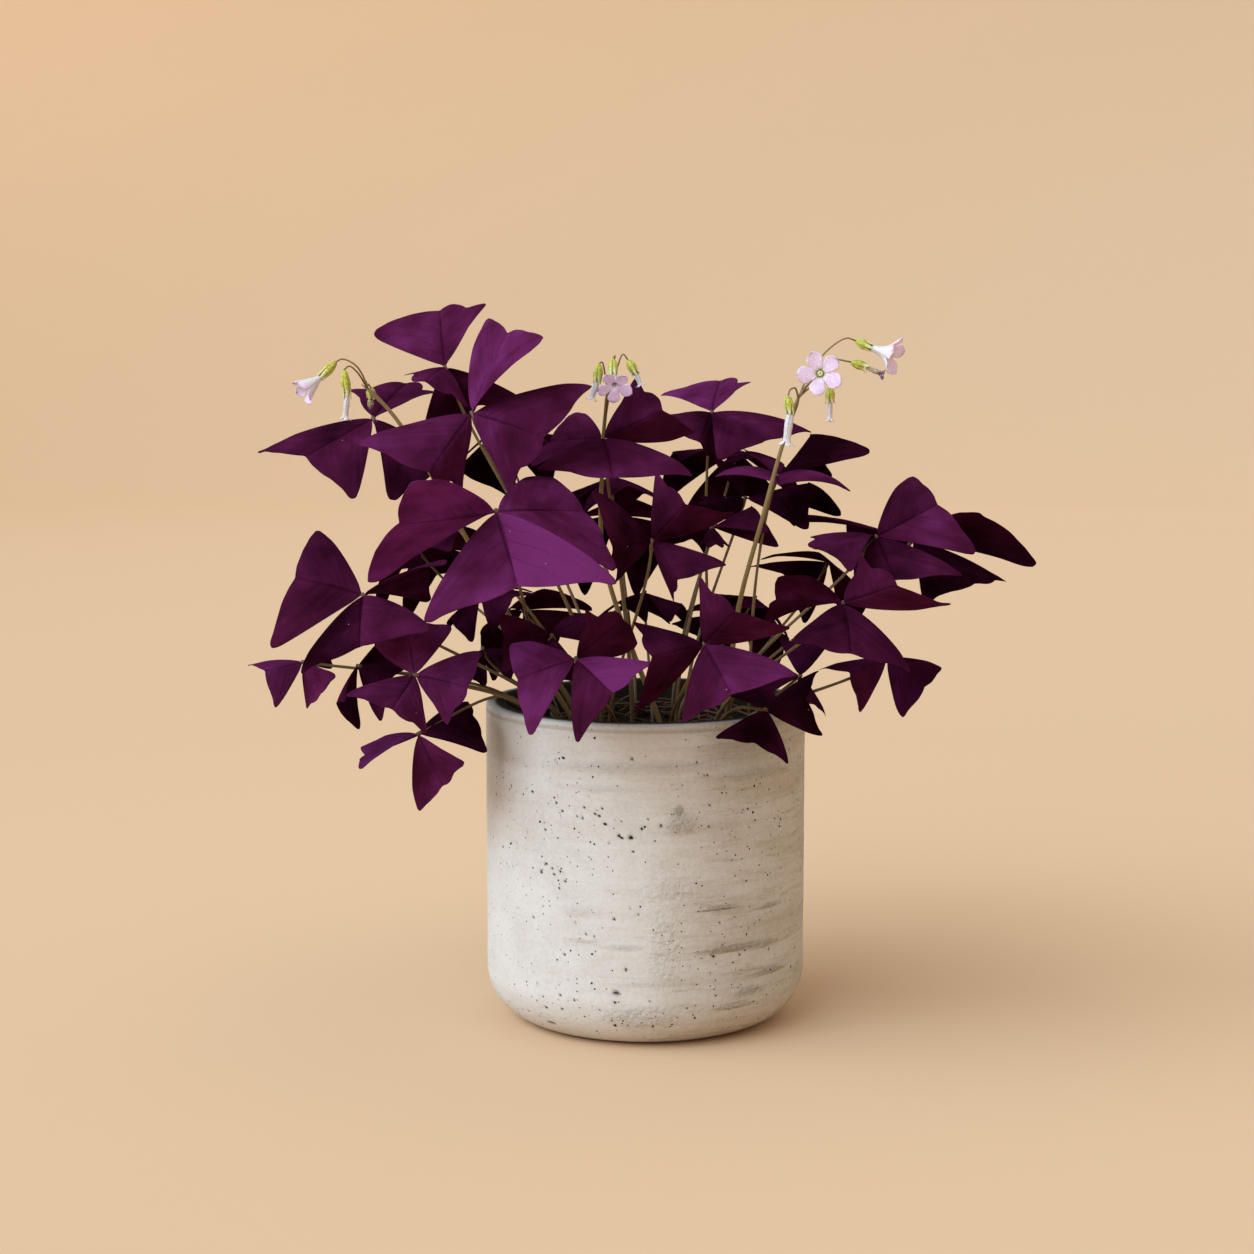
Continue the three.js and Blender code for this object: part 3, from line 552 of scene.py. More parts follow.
def midrib(hub, tip_a, tip_b, upper):
    """The way of the midrib, and the way that the ridge along it faces."""
    a = unit(tip_a - hub)
    b = unit(tip_b - hub)
    middle = unit(a + b)
    face = unit(np.cross(a, b))
    if face @ upper < 0:
        face = -face
    half_angle = angle_between(a, b) / 2
    rise = 0
    if half_angle < HALF_OPENING:
        rise = math.acos(math.cos(HALF_OPENING) / math.cos(half_angle))
    rib = middle * math.cos(rise) + face * math.sin(rise)
    ridge = face * math.cos(rise) - middle * math.sin(rise)
    return rib, ridge


def tip_on_sight(hub, spot, side, sense):
    """A tip on its line of sight, sense (-1 to 1) of the way to one side from the hub."""
    flat = place(*spot, hub[1])
    reach = math.sqrt(max(0, side * side - np.sum((flat - hub) ** 2)))
    return place(*spot, hub[1] + sense * reach)


def unfold(hub, leaf_side, upper, drawing):
    """The fold of a drawn leaflet whose midrib ends where the drawing puts it."""
    tip_a, tip_b, rib_end, lean = drawing[:2], drawing[2:4], drawing[4:6], drawing[6]
    special = drawing[7] if len(drawing) > 7 else {}
    side = special.get("side", leaf_side)
    best = None
    for sense_a in SENSES:
        for sense_b in SENSES:
            a = tip_on_sight(hub, tip_a, side, sense_a)
            b = tip_on_sight(hub, tip_b, side, sense_b)
            rib, ridge = midrib(hub, a, b, upper)
            end = hub + rib * RIB_LENGTH * side
            miss = np.linalg.norm(drawn(end) - rib_end) / MISS_TOLERANCE
            squeeze = (angle_between(a - hub, b - hub) - USUAL_OPENING) / OPENING_TOLERANCE
            depth = (a[1] + b[1] + end[1] - 3 * hub[1]) / side
            edge_on = 2 - abs(sense_a) - abs(sense_b)
            leaning = EDGE_ON_WEIGHT * edge_on - LEAN_WEIGHT * lean * depth
            cost = miss ** 2 + squeeze ** 2 + leaning
            if best is None or cost < best["cost"]:
                best = {"cost": cost, "a": a, "b": b, "rib": rib, "ridge": ridge, "side": side}
    best["dome"] = special.get("dome", USUAL_DOME)
    return best


def resting_leaflet(hub, side, upper, rib):
    """A leaflet that the elevation doesn't draw, folded down on both sides of its midrib."""
    across = unit(np.cross(rib, upper))
    face = unit(np.cross(across, rib))
    along = hub + rib * side * math.cos(HALF_OPENING)
    out = across * side * math.sin(HALF_OPENING) * math.cos(FOLD_DOWN)
    down = face * side * math.sin(HALF_OPENING) * math.sin(FOLD_DOWN)
    return {
        "a": along - out - down, "b": along + out - down,
        "rib": rib, "ridge": face, "side": side, "dome": USUAL_DOME,
    }


def drawn_leaf(leaf):
    hub = place(*leaf["hub"])
    side = leaf["side"]
    upper = unit(unit(hub - CANOPY_CENTRE) + UP * OUTWARD_LIFT)
    blades = [unfold(hub, side, upper, drawing) for drawing in leaf["leaflets"]]
    if len(blades) < 3:
        rib = -sum(blade["rib"] for blade in blades)
        rib = unit(rib + upper * (-rib @ upper - LEAFLET_SINK))
        blades.append(resting_leaflet(hub, side, upper, rib))
    return hub, upper, blades


def back_leaf(leaf):
    hub = np.array(leaf["hub"], float)
    out = unit(hub * (1, 1, 0))
    tilt = math.radians(leaf["droop"])
    upper = UP * math.cos(tilt) + out * math.sin(tilt)
    blades = []
    for turn in (0, 120, 240):
        angle = math.radians(leaf["heading"] + turn)
        rib = np.array([math.cos(angle), math.sin(angle), 0.0])
        rib = unit(rib - upper * (rib @ upper))
        rib = unit(rib - upper * LEAFLET_SINK)
        blades.append(resting_leaflet(hub, leaf["side"], upper, rib))
    return hub, upper, blades


def stalk_path(hub, upper, root, arch):
    """From under the soil to just above the hub."""
    flat = np.array([hub[0], hub[1], 0.0])
    if root:
        foot = np.array([root[0], root[1], SOIL_TOP], float)
    else:
        rise = math.atan2(hub[2] - SOIL_TOP, np.linalg.norm(flat))
        foot = unit(flat) * CLUMP_RADIUS * math.cos(rise) + UP * SOIL_TOP
    if arch:
        crest = unit(flat) * (POT_RADIUS - POT_WALL / 2) + UP * (POT_HEIGHT + arch)
        past = hub + unit(hub - crest) * HUB_HEIGHT
        path = smooth_curve([foot, crest, past], 16)
    else:
        reach = np.linalg.norm(hub - foot)
        bend = foot + UP * STALK_RISE * max(hub[2] - foot[2], reach / 2)
        arrive = hub - upper * STALK_ARRIVAL * reach
        path = bezier(foot, bend, arrive, hub + upper * HUB_HEIGHT, 32)
    return np.vstack([foot - UP * PLANTED_DEPTH, path])


# ---- meshes ----
class Draft:
    """The points and faces of one piece, in mm, with what its materials need to know of them.

    Each point has a way: how far it lies along and across its own part, kept as the UV map "way",
    and a tone from 0 to 1, kept as the attribute "tone".
    """

    def __init__(self):
        self.points, self.faces, self.materials, self.ways, self.tones = [], [], [], [], []
        self.count = 0

    def add(self, points, faces, ways=None, material=0, tone=0.5):
        points = np.asarray(points, float)
        self.points.append(points)
        self.faces += [[i + self.count for i in face] for face in faces]
        slots = [material] * len(faces) if np.isscalar(material) else list(material)
        self.materials += slots
        self.ways.append(np.zeros((len(points), 2)) if ways is None else ways)
        self.tones.append(np.full(len(points), tone) if np.isscalar(tone) else tone)
        self.count += len(points)

    def make(self, name, materials):
        mesh = bpy.data.meshes.new(name)
        points = np.vstack(self.points) * MM
        mesh.from_pydata(points.tolist(), [], self.faces)
        for material in materials:
            mesh.materials.append(material)
        mesh.polygons.foreach_set("material_index", self.materials)
        mesh.polygons.foreach_set("use_smooth", [True] * len(self.faces))
        corner = np.empty(len(mesh.loops), int)
        mesh.loops.foreach_get("vertex_index", corner)
        uv = mesh.uv_layers.new(name="way")
        uv.data.foreach_set("uv", np.vstack(self.ways)[corner].ravel())
        tone = mesh.attributes.new("tone", "FLOAT", "POINT")
        tone.data.foreach_set("value", np.concatenate(self.tones))
        mesh.update()
        piece = bpy.data.objects.new(name, mesh)
        bpy.context.scene.collection.objects.link(piece)
        return piece


def keep(piece, slot, *nodes):
    """Puts a finished piece in the frame: it rides on the one body and stands for its nodes."""
    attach(piece, "root")
    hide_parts(*nodes)


def tube(path, radii, sides):
    """A closed tube along a path, rounded off at its far end by its radii."""
    ways = np.gradient(path, axis=0)
    side = unit(np.cross(ways[0], RIGHT + UP * 0.3))
    turns = np.linspace(0, 2 * math.pi, sides, endpoint=False)
    rings = []
    for point, way, radius in zip(path, ways, radii):
        way = unit(way)
        side = unit(side - way * (side @ way))
        other = np.cross(way, side)
        ring = np.outer(np.cos(turns), side) + np.outer(np.sin(turns), other)
        rings.append(point + radius * ring)
    points = np.vstack(rings + [path[:1], path[-1:]])
    faces = []
    last = len(path) - 1
    for i in range(sides):
        j = (i + 1) % sides
        for row in range(last):
            low, high = row * sides, (row + 1) * sides
            faces.append([low + i, low + j, high + j, high + i])
        faces.append([len(points) - 2, j, i])
        faces.append([len(points) - 1, last * sides + i, last * sides + j])
    walked = np.linspace(0, 1, len(path)).repeat(sides)
    turned = np.tile(turns / (2 * math.pi), len(path))
    return points, faces, np.stack([np.append(walked, [0, 1]), np.append(turned, [0, 0])], 1)


def thicken(points, faces, thickness, facing=None):
    """A closed solid from an open sheet. Its upper face looks along facing.

    Returns the points, the faces, and for each face 0 on the upper side and rim or 1 below.
    """
    corners = [face[:3] for face in faces] + [
        [face[0], face[2], face[3]] for face in faces if len(face) == 4
    ]
    corners = np.array(corners)
    edges = points[corners[:, 1]] - points[corners[:, 0]]
    normals = np.cross(edges, points[corners[:, 2]] - points[corners[:, 0]])
    if facing is not None and normals.sum(axis=0) @ facing < 0:
        faces = [face[::-1] for face in faces]
        normals = -normals
    at_point = np.zeros_like(points)
    for k in range(3):
        np.add.at(at_point, corners[:, k], normals)
    at_point /= np.linalg.norm(at_point, axis=1)[:, None] + TINY
    half = at_point * np.reshape(thickness, (-1, 1)) / 2
    count = len(points)
    below = [[i + count for i in face[::-1]] for face in faces]
    used = dict.fromkeys(pair for face in faces for pair in zip(face, face[1:] + face[:1]))
    rim = [[b, a, a + count, b + count] for a, b in used if (b, a) not in used]
    sides = [0] * len(faces) + [1] * len(below) + [0] * len(rim)
    return np.vstack([points + half, points - half]), faces + below + rim, sides


def ring_faces(rows, columns, closed=True):
    """Faces over rows of rings of points.

    A fan closes the first ring at one more point, and if closed another does the last.
    """
    index = np.arange(rows * columns).reshape(rows, columns)
    ring = np.hstack([index, index[:, :1]])
    first, last = ring[0].tolist(), ring[-1].tolist()
    faces = grid_faces(ring)
    faces += [[index.size, a, b] for a, b in zip(first, first[1:])]
    if closed:
        faces += [[index.size + 1, b, a] for a, b in zip(last, last[1:])]
    return faces


def grid_faces(index):
    """Faces over an array of point numbers, with triangles where neighbours are one point."""
    faces = []
    for i in range(index.shape[0] - 1):
        for j in range(index.shape[1] - 1):
            ring = [index[i, j], index[i + 1, j], index[i + 1, j + 1], index[i, j + 1]]
            face = [int(n) for k, n in enumerate(ring) if n != ring[k - 1]]
            if len(face) > 2:
                faces.append(face)
    return faces


# ---- leaf blades ----
# Half of a leaflet's margin in shares of its side, [across, along], from the hub round the side
# margin to the tip and back along the outer margin to the end of the midrib.
BLADE_BASE = 0.014
HALF_MARGIN = [
    [0, BLADE_BASE], [0.1, 0.078], [0.26, 0.216], [0.42, 0.366], [0.54, 0.488], [0.62, 0.58],
    [0.67, 0.646], [0.692, 0.69], [0.684, 0.719], [0.646, 0.733], [0.56, 0.731], [0.43, 0.726],
    [0.32, 0.724], [0.21, 0.716], [0.12, 0.702], [0.04, 0.68], [0, RIB_LENGTH],
]
MARGIN_SAMPLES = 3  # between two of those
VEIN_SWEEP = 1.5  # how early the side veins leave the midrib
TIP_ACROSS = 0.71
ACROSS_SHARES = (0, 0.018, 0.05, 0.11, 0.2, 0.32, 0.45, 0.58, 0.7, 0.81, 0.9, 0.965, 1)
FOLD_ROUNDING = 0.05  # share of the side over which the fold at the midrib is rounded
FOLD_SINK = 0.01  # share of the side by which it lies lower than a sharp one
GROOVE_WIDTH = 0.55  # mm from the middle of the midrib's crease to where it fades
DOME_SHARE = 0.6  # of the model's dome
TIP_START = 0.72  # how far out a wing starts to hang
TIP_DROP = 0.03  # how far its tip hangs, as a share of the side
MARGIN_TEETH = ((4.3, 0.004), (9.1, 0.0025))  # turns along the margin, and height as a share
FAN_TURNS = 6.5  # of the soft folds that fan out from the hub
SLOW_WAVES = ((1.35, 1.5, 1), (3.1, 3, 0.5))  # turns, how fast they fade inwards, and height
WAVE_SIDE = 50  # side of a leaflet, mm, whose ripples and waves are as high as the settings say


def blade_sheet(hub, blade, settings, rng):
    """The middle surface of one leaflet: its points, faces and ways, and the half of each point."""
    rib, ridge, side = blade["rib"], blade["ridge"], blade["side"]
    margin = smooth_curve(HALF_MARGIN, MARGIN_SAMPLES)
    rows = len(margin)
    t = np.linspace(0, 1, rows)[:, None]
    s = np.array(ACROSS_SHARES)[None, :]

    def swing(turns, phase):
        return np.sin(2 * math.pi * turns * t + phase)

    along_rib = BLADE_BASE + (RIB_LENGTH - BLADE_BASE) * t[:, 0] ** VEIN_SWEEP
    groove = settings.groove / MM
    ripple = settings.ripple / MM
    wave = settings.wave / MM
    bow = rng.uniform(-0.01, 0.03) * side
    points, ways, halves = [], [], []
    for half, tip in enumerate((blade["a"], blade["b"])):
        arm = tip - hub
        across = unit(arm - rib * (arm @ rib))
        face = unit(np.cross(across, rib))
        if face @ ridge < 0:
            face = -face
        scale = side + (np.linalg.norm(arm) - side) * np.clip(margin[:, :1] / 0.4, 0, 1)
        phases = rng.uniform(0, 2 * math.pi, 6)
        teeth = sum(high * swing(turns, p) for (turns, high), p in zip(MARGIN_TEETH, phases))
        uneven = 1 + teeth * np.sin(math.pi * t)
        out = s * margin[:, :1] * scale * uneven
        mid = (1 - s) * along_rib[:, None] * side
        along = mid + s * margin[:, 1:] * (side + (scale - side) * np.sin(math.pi * t)) * uneven
        q = np.clip(out / (TIP_ACROSS * side), 0, 1)
        y = along / side
        lift = DOME_SHARE * blade["dome"] * side * 4 * q * (1 - q) * (1.2 - 0.8 * y)
        lift = lift - TIP_DROP * side * smooth_step((q - TIP_START) / (1 - TIP_START))
        fan = swing(FAN_TURNS, phases[2]) * np.sin(math.pi * s) ** 0.7
        slow = sum(
            high * swing(turns, phase) * s ** fade
            for (turns, fade, high), phase in zip(SLOW_WAVES, phases[3:])
        )
        lift = lift + (ripple * fan + wave * slow * np.sin(math.pi * t)) * side / WAVE_SIDE
        sink = FOLD_SINK * side * (1 - np.clip(out / (FOLD_ROUNDING * side), 0, 1)) ** 2
        sink = sink + groove * np.exp(-(out / GROOVE_WIDTH) ** 2)
        rise = bow * 4 * (y / RIB_LENGTH) * (1 - y / RIB_LENGTH) - sink * np.sin(math.pi * t) ** 0.2
        points.append(
            hub + along[..., None] * rib + out[..., None] * across
            + lift[..., None] * face + rise[..., None] * ridge
        )
        ways.append(np.stack(np.broadcast_arrays(t, s), axis=-1))
        halves.append(np.full(out.size, half))
    points, ways = np.array(points), np.array(ways)
    points[1, :, 0] = points[0, :, 0] = (points[0, :, 0] + points[1, :, 0]) / 2
    index = np.arange(points[..., 0].size).reshape(points.shape[:3])
    index[1, :, 0] = index[0, :, 0]
    for row in (0, -1):
        index[:, row, :] = index[0, row, 0]
    faces = grid_faces(index[0]) + [face[::-1] for face in grid_faces(index[1])]
    used = sorted({i for face in faces for i in face})
    new = {old: i for i, old in enumerate(used)}
    faces = [[new[i] for i in face] for face in faces]
    points, ways = points.reshape(-1, 3)[used], ways.reshape(-1, 2)[used]
    return points, faces, ways, np.concatenate(halves)[used]


STALK_RINGS = 30
STALK_SIDES = 10
HUB_SWELLING = (0.95, 0.8)  # of its last rings, as shares of the hub's radius


def leaf_piece(name, form, leaf, seed, materials):
    settings = bpy.context.scene.shamrock_leaf
    rng = np.random.default_rng(seed)
    hub, upper, blades = form
    draft = Draft()
    # Each leaflet, or each half, gets its tone: painted light and shade along with its own
    # lightness.
    for blade, tone in zip(blades, leaf.get("tones", BACK_LEAF_SHADE)):
        points, faces, ways, halves = blade_sheet(hub, blade, settings, rng)
        taper = 1.1 - 0.65 * ways[:, 1] ** 2
        thickness = settings.blade_thickness / MM * taper
        solid, faces, sides = thicken(points, faces, thickness, blade["ridge"])
        tones = np.broadcast_to(tone, 2)[halves]
        draft.add(solid, faces, np.vstack([ways, ways]), sides, np.append(tones, tones))
    path = evenly(stalk_path(hub, upper, leaf.get("root"), leaf.get("arch")), STALK_RINGS)
    share = np.linspace(0, 1, STALK_RINGS)
    radii = settings.stalk_foot / MM * (1 - share) + settings.stalk_top / MM * share
    radii = radii * (1 + 0.06 * np.sin(share * 23 + rng.uniform(0, 6)))
    radii[-2:] = settings.hub / MM * np.array(HUB_SWELLING)
    draft.add(*tube(path, radii, STALK_SIDES), 2)
    piece = draft.make(name, materials)
    keep(piece, "leaf", "leaf_" + name.removesuffix("_leaf"))


# ---- materials ----
def per_mm(size):
    """The scale of a texture in object coordinates, in metres, for details of that many mm."""
    return 1 / (size * MM)


def add_node(tree, kind, inputs=(), **settings):
    """Adds a node with its settings and links.

    inputs gives its sockets, in their order or by name, each a value, or the node or output that
    feeds it.
    """
    node = tree.nodes.new("ShaderNode" + kind)
    for key, value in settings.items():
        setattr(node, key, value)
    sockets = [socket for socket in node.inputs if socket.enabled]
    for key, value in inputs.items() if isinstance(inputs, dict) else enumerate(inputs):
        socket = node.inputs[key] if isinstance(key, str) else sockets[key]
        if isinstance(value, bpy.types.Node):
            value = next(output for output in value.outputs if output.enabled)
        if isinstance(value, bpy.types.NodeSocket):
            tree.links.new(value, socket)
        elif socket.type == "RGBA":
            socket.default_value = (*value, 1)
        else:
            socket.default_value = value
    return node


def surface(name, finish, *choices):
    """A material. finish adds its nodes and says what each input of its shader comes from."""
    material = bpy.data.materials.new(name)
    material.use_nodes = True
    material.node_tree.nodes.clear()
    add = functools.partial(add_node, material.node_tree)
    add("OutputMaterial", {"Surface": add("BsdfPrincipled", finish(add, *choices))})
    return material


def own_coordinates(add):
    """Object coordinates, how far along and across its part a point lies, and its tone."""
    coords = add("TexCoord").outputs["Object"]
    way = add("SeparateXYZ", [add("UVMap", uv_map="way")])
    tone = add("Attribute", attribute_name="tone").outputs["Fac"]
    return coords, way.outputs["X"], way.outputs["Y"], tone


VEINS_PER_HALF = 5


def leaf_face(add, dark, middle, light, vein, dusty):
    """One face of a leaf: living skin, matt, with a faint velvety sheen.

    tone says how light the leaflet is painted: painted light and shade that falls on it, besides
    its own lightness. Soft streaks follow the veins, the veins and the midrib are thin dark
    creases, and here and there a pale speck of dust lies on the upper face.
    """
    coords, along, across, tone = own_coordinates(add)
    wobble = add("MapRange", [add("TexNoise", [coords, per_mm(7), 3]), 0.3, 0.7, 0.05, 0.094])
    turns = add("Math", [add("Math", [along, wobble]), VEINS_PER_HALF], operation="MULTIPLY")
    apart = add("Math", [turns, 0.5], operation="PINGPONG")
    line = add("MapRange", [apart, 0.008, 0.075, 1, 0])
    outwards = add("MapRange", [across, 0.1, 0.95, 0.5, 0.05])
    line = add("Math", [line, outwards], operation="MULTIPLY")
    rib = add("MapRange", [across, 0.01, 0.035, 1, 0])
    veins = add("Math", [line, rib], operation="MAXIMUM")
    drift = add("Math", [add("TexNoise", [coords, per_mm(60)]), 9], operation="MULTIPLY")
    place_along = add("Math", [along, 11], operation="MULTIPLY")
    place_across = add("Math", [across, 1.7], operation="MULTIPLY")
    streaks = add("TexNoise", [add("CombineXYZ", [place_along, place_across, drift]), 1, 3])
    # tone paints the light and shade on each leaflet; the streaks and patches are its own colour.
    lightness = add("Math", [tone, add("MapRange", [streaks, 0.3, 0.7, -0.07, 0.07])])
    patches = add("TexNoise", [coords, per_mm(19), 3])
    lightness = add("Math", [lightness, add("MapRange", [patches, 0.3, 0.7, -0.2, 0.2])])
    low = add("MapRange", [lightness, -0.15, 0.55], interpolation_type="SMOOTHSTEP")
    high = add("MapRange", [lightness, 0.35, 1.05], interpolation_type="SMOOTHSTEP")
    base = add("Mix", [low, dark, middle], data_type="RGBA")
    base = add("Mix", [high, base, light], data_type="RGBA")
    crease = add("Math", [veins, 0.5], operation="MULTIPLY")
    base = add("Mix", [crease, base, vein], data_type="RGBA")
    if dusty:
        dust = add("TexVoronoi", {"Vector": coords, "Scale": per_mm(9)})
        chosen = add("MapRange", [dust.outputs["Color"], 0.66, 0.7])
        speck = add("MapRange", [dust, 0.018, 0.032, 0.75, 0])
        speck = add("Math", [speck, chosen], operation="MULTIPLY")
        base = add("Mix", [speck, base, linear("#B79AB4")], data_type="RGBA")
    grain = add("TexNoise", [coords, per_mm(0.5), 2])
    height = add("Math", [grain, 0.3], operation="MULTIPLY")
    height = add("Math", [height, veins], operation="SUBTRACT")
    normal = add("Bump", {"Height": height, "Distance": 0.12 * MM, "Strength": 0.7})
    sheen_patches = add("TexNoise", [coords, per_mm(6), 3])
    return {
        "Base Color": base, "Normal": normal,
        "Roughness": add("MapRange", [sheen_patches, 0.3, 0.7, 0.5, 0.64]),
        "Specular IOR Level": 0, "Sheen Weight": 0.06, "Sheen Roughness": 0.4,
        "Sheen Tint": linear("#A03C90"),
    }


def stalk_skin(add, skin, flush):
    """Skin of a soft fleshy stalk: olive tan with a faint lengthwise mottle and a waxy gloss."""
    coords, along, _, _ = own_coordinates(add)
    mottle = add("MapRange", [add("TexNoise", [coords, per_mm(2.2), 3]), 0.35, 0.7, 0, 0.4])
    head = add("MapRange", [along, 0.9, 1])
    foot = add("MapRange", [along, 0, 0.3, 0.85, 0])
    red = add("Math", [add("Math", [mottle, head], operation="MAXIMUM"), foot], operation="MAXIMUM")
    height = add("TexNoise", [coords, per_mm(0.9), 3])
    return {
        "Base Color": add("Mix", [red, skin, flush], data_type="RGBA"),
        "Normal": add("Bump", {"Height": height, "Distance": 0.08 * MM}),
        "Roughness": 0.46, "IOR": 1.4,
    }


def petal_skin(add, lobe, tube_colour, tube_end, eye=None):
    """Thin petal tissue: matt and a little see-through, with fine veins and a painted sparkle.

    The tube is white up to tube_end of the petal's length and turns lilac over the lobe.
    """
    coords, along, across, _ = own_coordinates(add)
    wander = add("MapRange", [add("TexNoise", [coords, per_mm(1.5), 3]), 0.3, 0.7, -0.06, 0.06])
    reach = add("Math", [along, wander])
    turn = add("MapRange", [reach, tube_end, tube_end + 0.22])
    base = add("Mix", [turn, tube_colour, lobe], data_type="RGBA")
    if eye:
        base = add("Mix", [add("MapRange", [reach, 0.34, 0.44]), eye, base], data_type="RGBA")
    saw = add("Math", [add("Math", [across, 3], operation="MULTIPLY"), 0.5], operation="PINGPONG")
    lines = add("MapRange", [saw, 0, 0.12, 0.2, 0])
    base = add("Mix", [lines, base, linear("#B98BC9")], data_type="RGBA")
    # The sparkle is painted: pale dots in the colour, a painted glint.
    dots = add("TexVoronoi", {"Vector": coords, "Scale": per_mm(0.9)})
    sparkle = add("MapRange", [dots, 0.2, 0.38, 0.75, 0])
    return {
        "Base Color": add("Mix", [sparkle, base, linear("#FBF4FA")], data_type="RGBA"),
        "Normal": add("Bump", {"Height": saw, "Distance": 0.08 * MM, "Strength": 0.5}),
        "Roughness": 0.6, "Subsurface Weight": 0.5, "Subsurface Radius": (1, 0.8, 0.9),
        "Subsurface Scale": 0.6 * MM,
    }


def mottled_green(add, settings):
    """Sepals: fresh yellow-green, finely mottled, with darker edges and a pale end."""
    coords, along, across, _ = own_coordinates(add)
    mottle = add("MapRange", [add("TexNoise", [coords, per_mm(0.8), 2]), 0.42, 0.62, 0, 0.7])
    edge = add("MapRange", [add("Math", [across], operation="ABSOLUTE"), 0.75, 1, 0, 0.5])
    dark = add("Math", [mottle, edge], operation="MAXIMUM")
    base = add("Mix", [dark, settings.sepal, settings.sepal_deep], data_type="RGBA")
    pale = add("MapRange", [along, 0.5, 1, 0, 0.85])
    return {
        "Base Color": add("Mix", [pale, base, settings.sepal_tip], data_type="RGBA"),
        "Normal": add("Bump", {"Height": mottle, "Distance": 0.08 * MM}), "Roughness": 0.5,
    }


# The greys of the concrete: whether level streaks or clouds, how many mm across, how ragged, from
# where to where in the noise they show, and how much grey they take away and add.
CONCRETE_GREYS = (
    (True, 75, 0.6, 0.42, 0.68, 0, 0.28), (True, 24, 0.8, 0.52, 0.7, 0, 0.34),
    (True, 9, 0.8, 0.58, 0.72, 0, 0.22), (False, 24, 0.6, 0.4, 0.72, 0, 0.22),
    (False, 1.7, 0.7, 0.3, 0.7, -0.13, 0.13), (False, 0.6, 0.7, 0.3, 0.7, -0.1, 0.1),
)
AIR_PITS = ((2.1, 0.3, 0.72), (3.6, 0.42, 0.76), (6.1, 0.55, 0.82))  # spacing, radius, how rare


def cast_concrete(add, settings):
    """Light grey concrete, cast in a mould and rubbed down.

    Air bubbles have left small pits, crowded in places, which are painted dark inside: painted
    shade. The float has left long level streaks, stronger towards the right, and bands of warmer
    grey, and the right side, away from the windows, is painted a darker grey: painted shade. The
    surface has a dry, sandy grain. The largest pits are dents in the mesh. The way of a point says
    how crowded its pits are and how rough it is, and its tone how dark it is: real stains, and
    painted shade in the larger pits, along the seam under the lip, inside the pot and as the
    shadows of leaves just under the rim.
    """
    coords, crowd, rough, tone = own_coordinates(add)
    level = add("Mapping", {"Vector": coords, "Rotation": (0.02, -0.03, 0), "Scale": (1, 1, 9)})
    grain = add("TexNoise", [coords, per_mm(0.6), 3, 0.7])
    right = add("SeparateXYZ", [coords])
    # The right side of the pot, away from the windows, is painted a darker grey: painted shade.
    grey = add("MapRange", [right, 0, 28 * MM, 0, 0.35])
    # The level streaks grow stronger towards the right.
    right_streaks = add("MapRange", [right, -30 * MM, 26 * MM, 0.35, 1.1])
    for streaky, size, roughness, start, end, low, high in CONCRETE_GREYS:
        patches = add("TexNoise", [level if streaky else coords, per_mm(size), 4, roughness])
        amount = add("MapRange", [patches, start, end, low, high])
        if streaky:
            amount = add("Math", [amount, right_streaks], operation="MULTIPLY")
        grey = add("Math", [grey, amount])
    base = add("Mix", [grey, settings.concrete, settings.concrete_grey], data_type="RGBA")
    uneven = add("MapRange", [grain, 0.2, 0.8, -0.28, 0.28])
    # The pits are painted dark inside: painted shade in the hollows.
    pits = 0
    for spacing, radius, fewest in AIR_PITS:
        cells = add("TexVoronoi", {"Vector": coords, "Scale": per_mm(spacing)})
        limit = radius / spacing
        off = add("Math", [uneven, limit, cells], operation="MULTIPLY_ADD")
        dot = add("MapRange", [off, 0.75 * limit, limit, 1, 0])
        chance = add("Math", [crowd, 0.5, cells.outputs["Color"]], operation="MULTIPLY_ADD")
        chosen = add("MapRange", [chance, fewest - 0.02, fewest + 0.02])
        dot = add("Math", [dot, chosen], operation="MULTIPLY")
        pits = add("Math", [dot, pits], operation="MAXIMUM")
    # The larger pits, dents in the mesh, are painted dark: painted shade. tone also holds real
    # stains and painted shade: inside the pot, along the seam under the lip and leaf shadows under
    # the rim.
    dent = add("MapRange", [add("Math", [tone, uneven]), 0.38, 0.5, 0, 1])
    stains_and_shade = add("Math", [tone, 1.3], operation="MULTIPLY")
    dark = add("Math", [add("Math", [pits, dent], operation="MAXIMUM"), stains_and_shade], operation="MAXIMUM")
    crumbs = add("TexNoise", [coords, per_mm(2), 4, 0.65])
    crumbled = add("Math", [rough, 7, 0.3], operation="MULTIPLY_ADD")
    height = add("Math", [crumbs, crumbled], operation="MULTIPLY")
    height = add("Math", [grain, 0.16, height], operation="MULTIPLY_ADD")
    height = add("Math", [height, pits], operation="SUBTRACT")
    return {
        "Base Color": add("Mix", [dark, base, settings.pit], data_type="RGBA"),
        "Normal": add("Bump", {"Height": height, "Distance": 0.5 * MM, "Strength": 0.8}),
        "Roughness": 0.88, "Specular IOR Level": 0.1,
    }


def damp_soil(add, settings):
    """Peat potting soil: nearly black crumbs with lighter fibres, quite matt."""
    crumbs = add("TexNoise", [add("TexCoord").outputs["Object"], per_mm(1.3), 5, 0.7])
    fibres = add("MapRange", [crumbs, 0.5, 0.75])
    return {
        "Base Color": add("Mix", [fibres, settings.soil, settings.soil_light], data_type="RGBA"),
        "Normal": add("Bump", {"Height": crumbs, "Distance": 0.7 * MM}), "Roughness": 0.95,
        "Specular IOR Level": 0.1,
    }


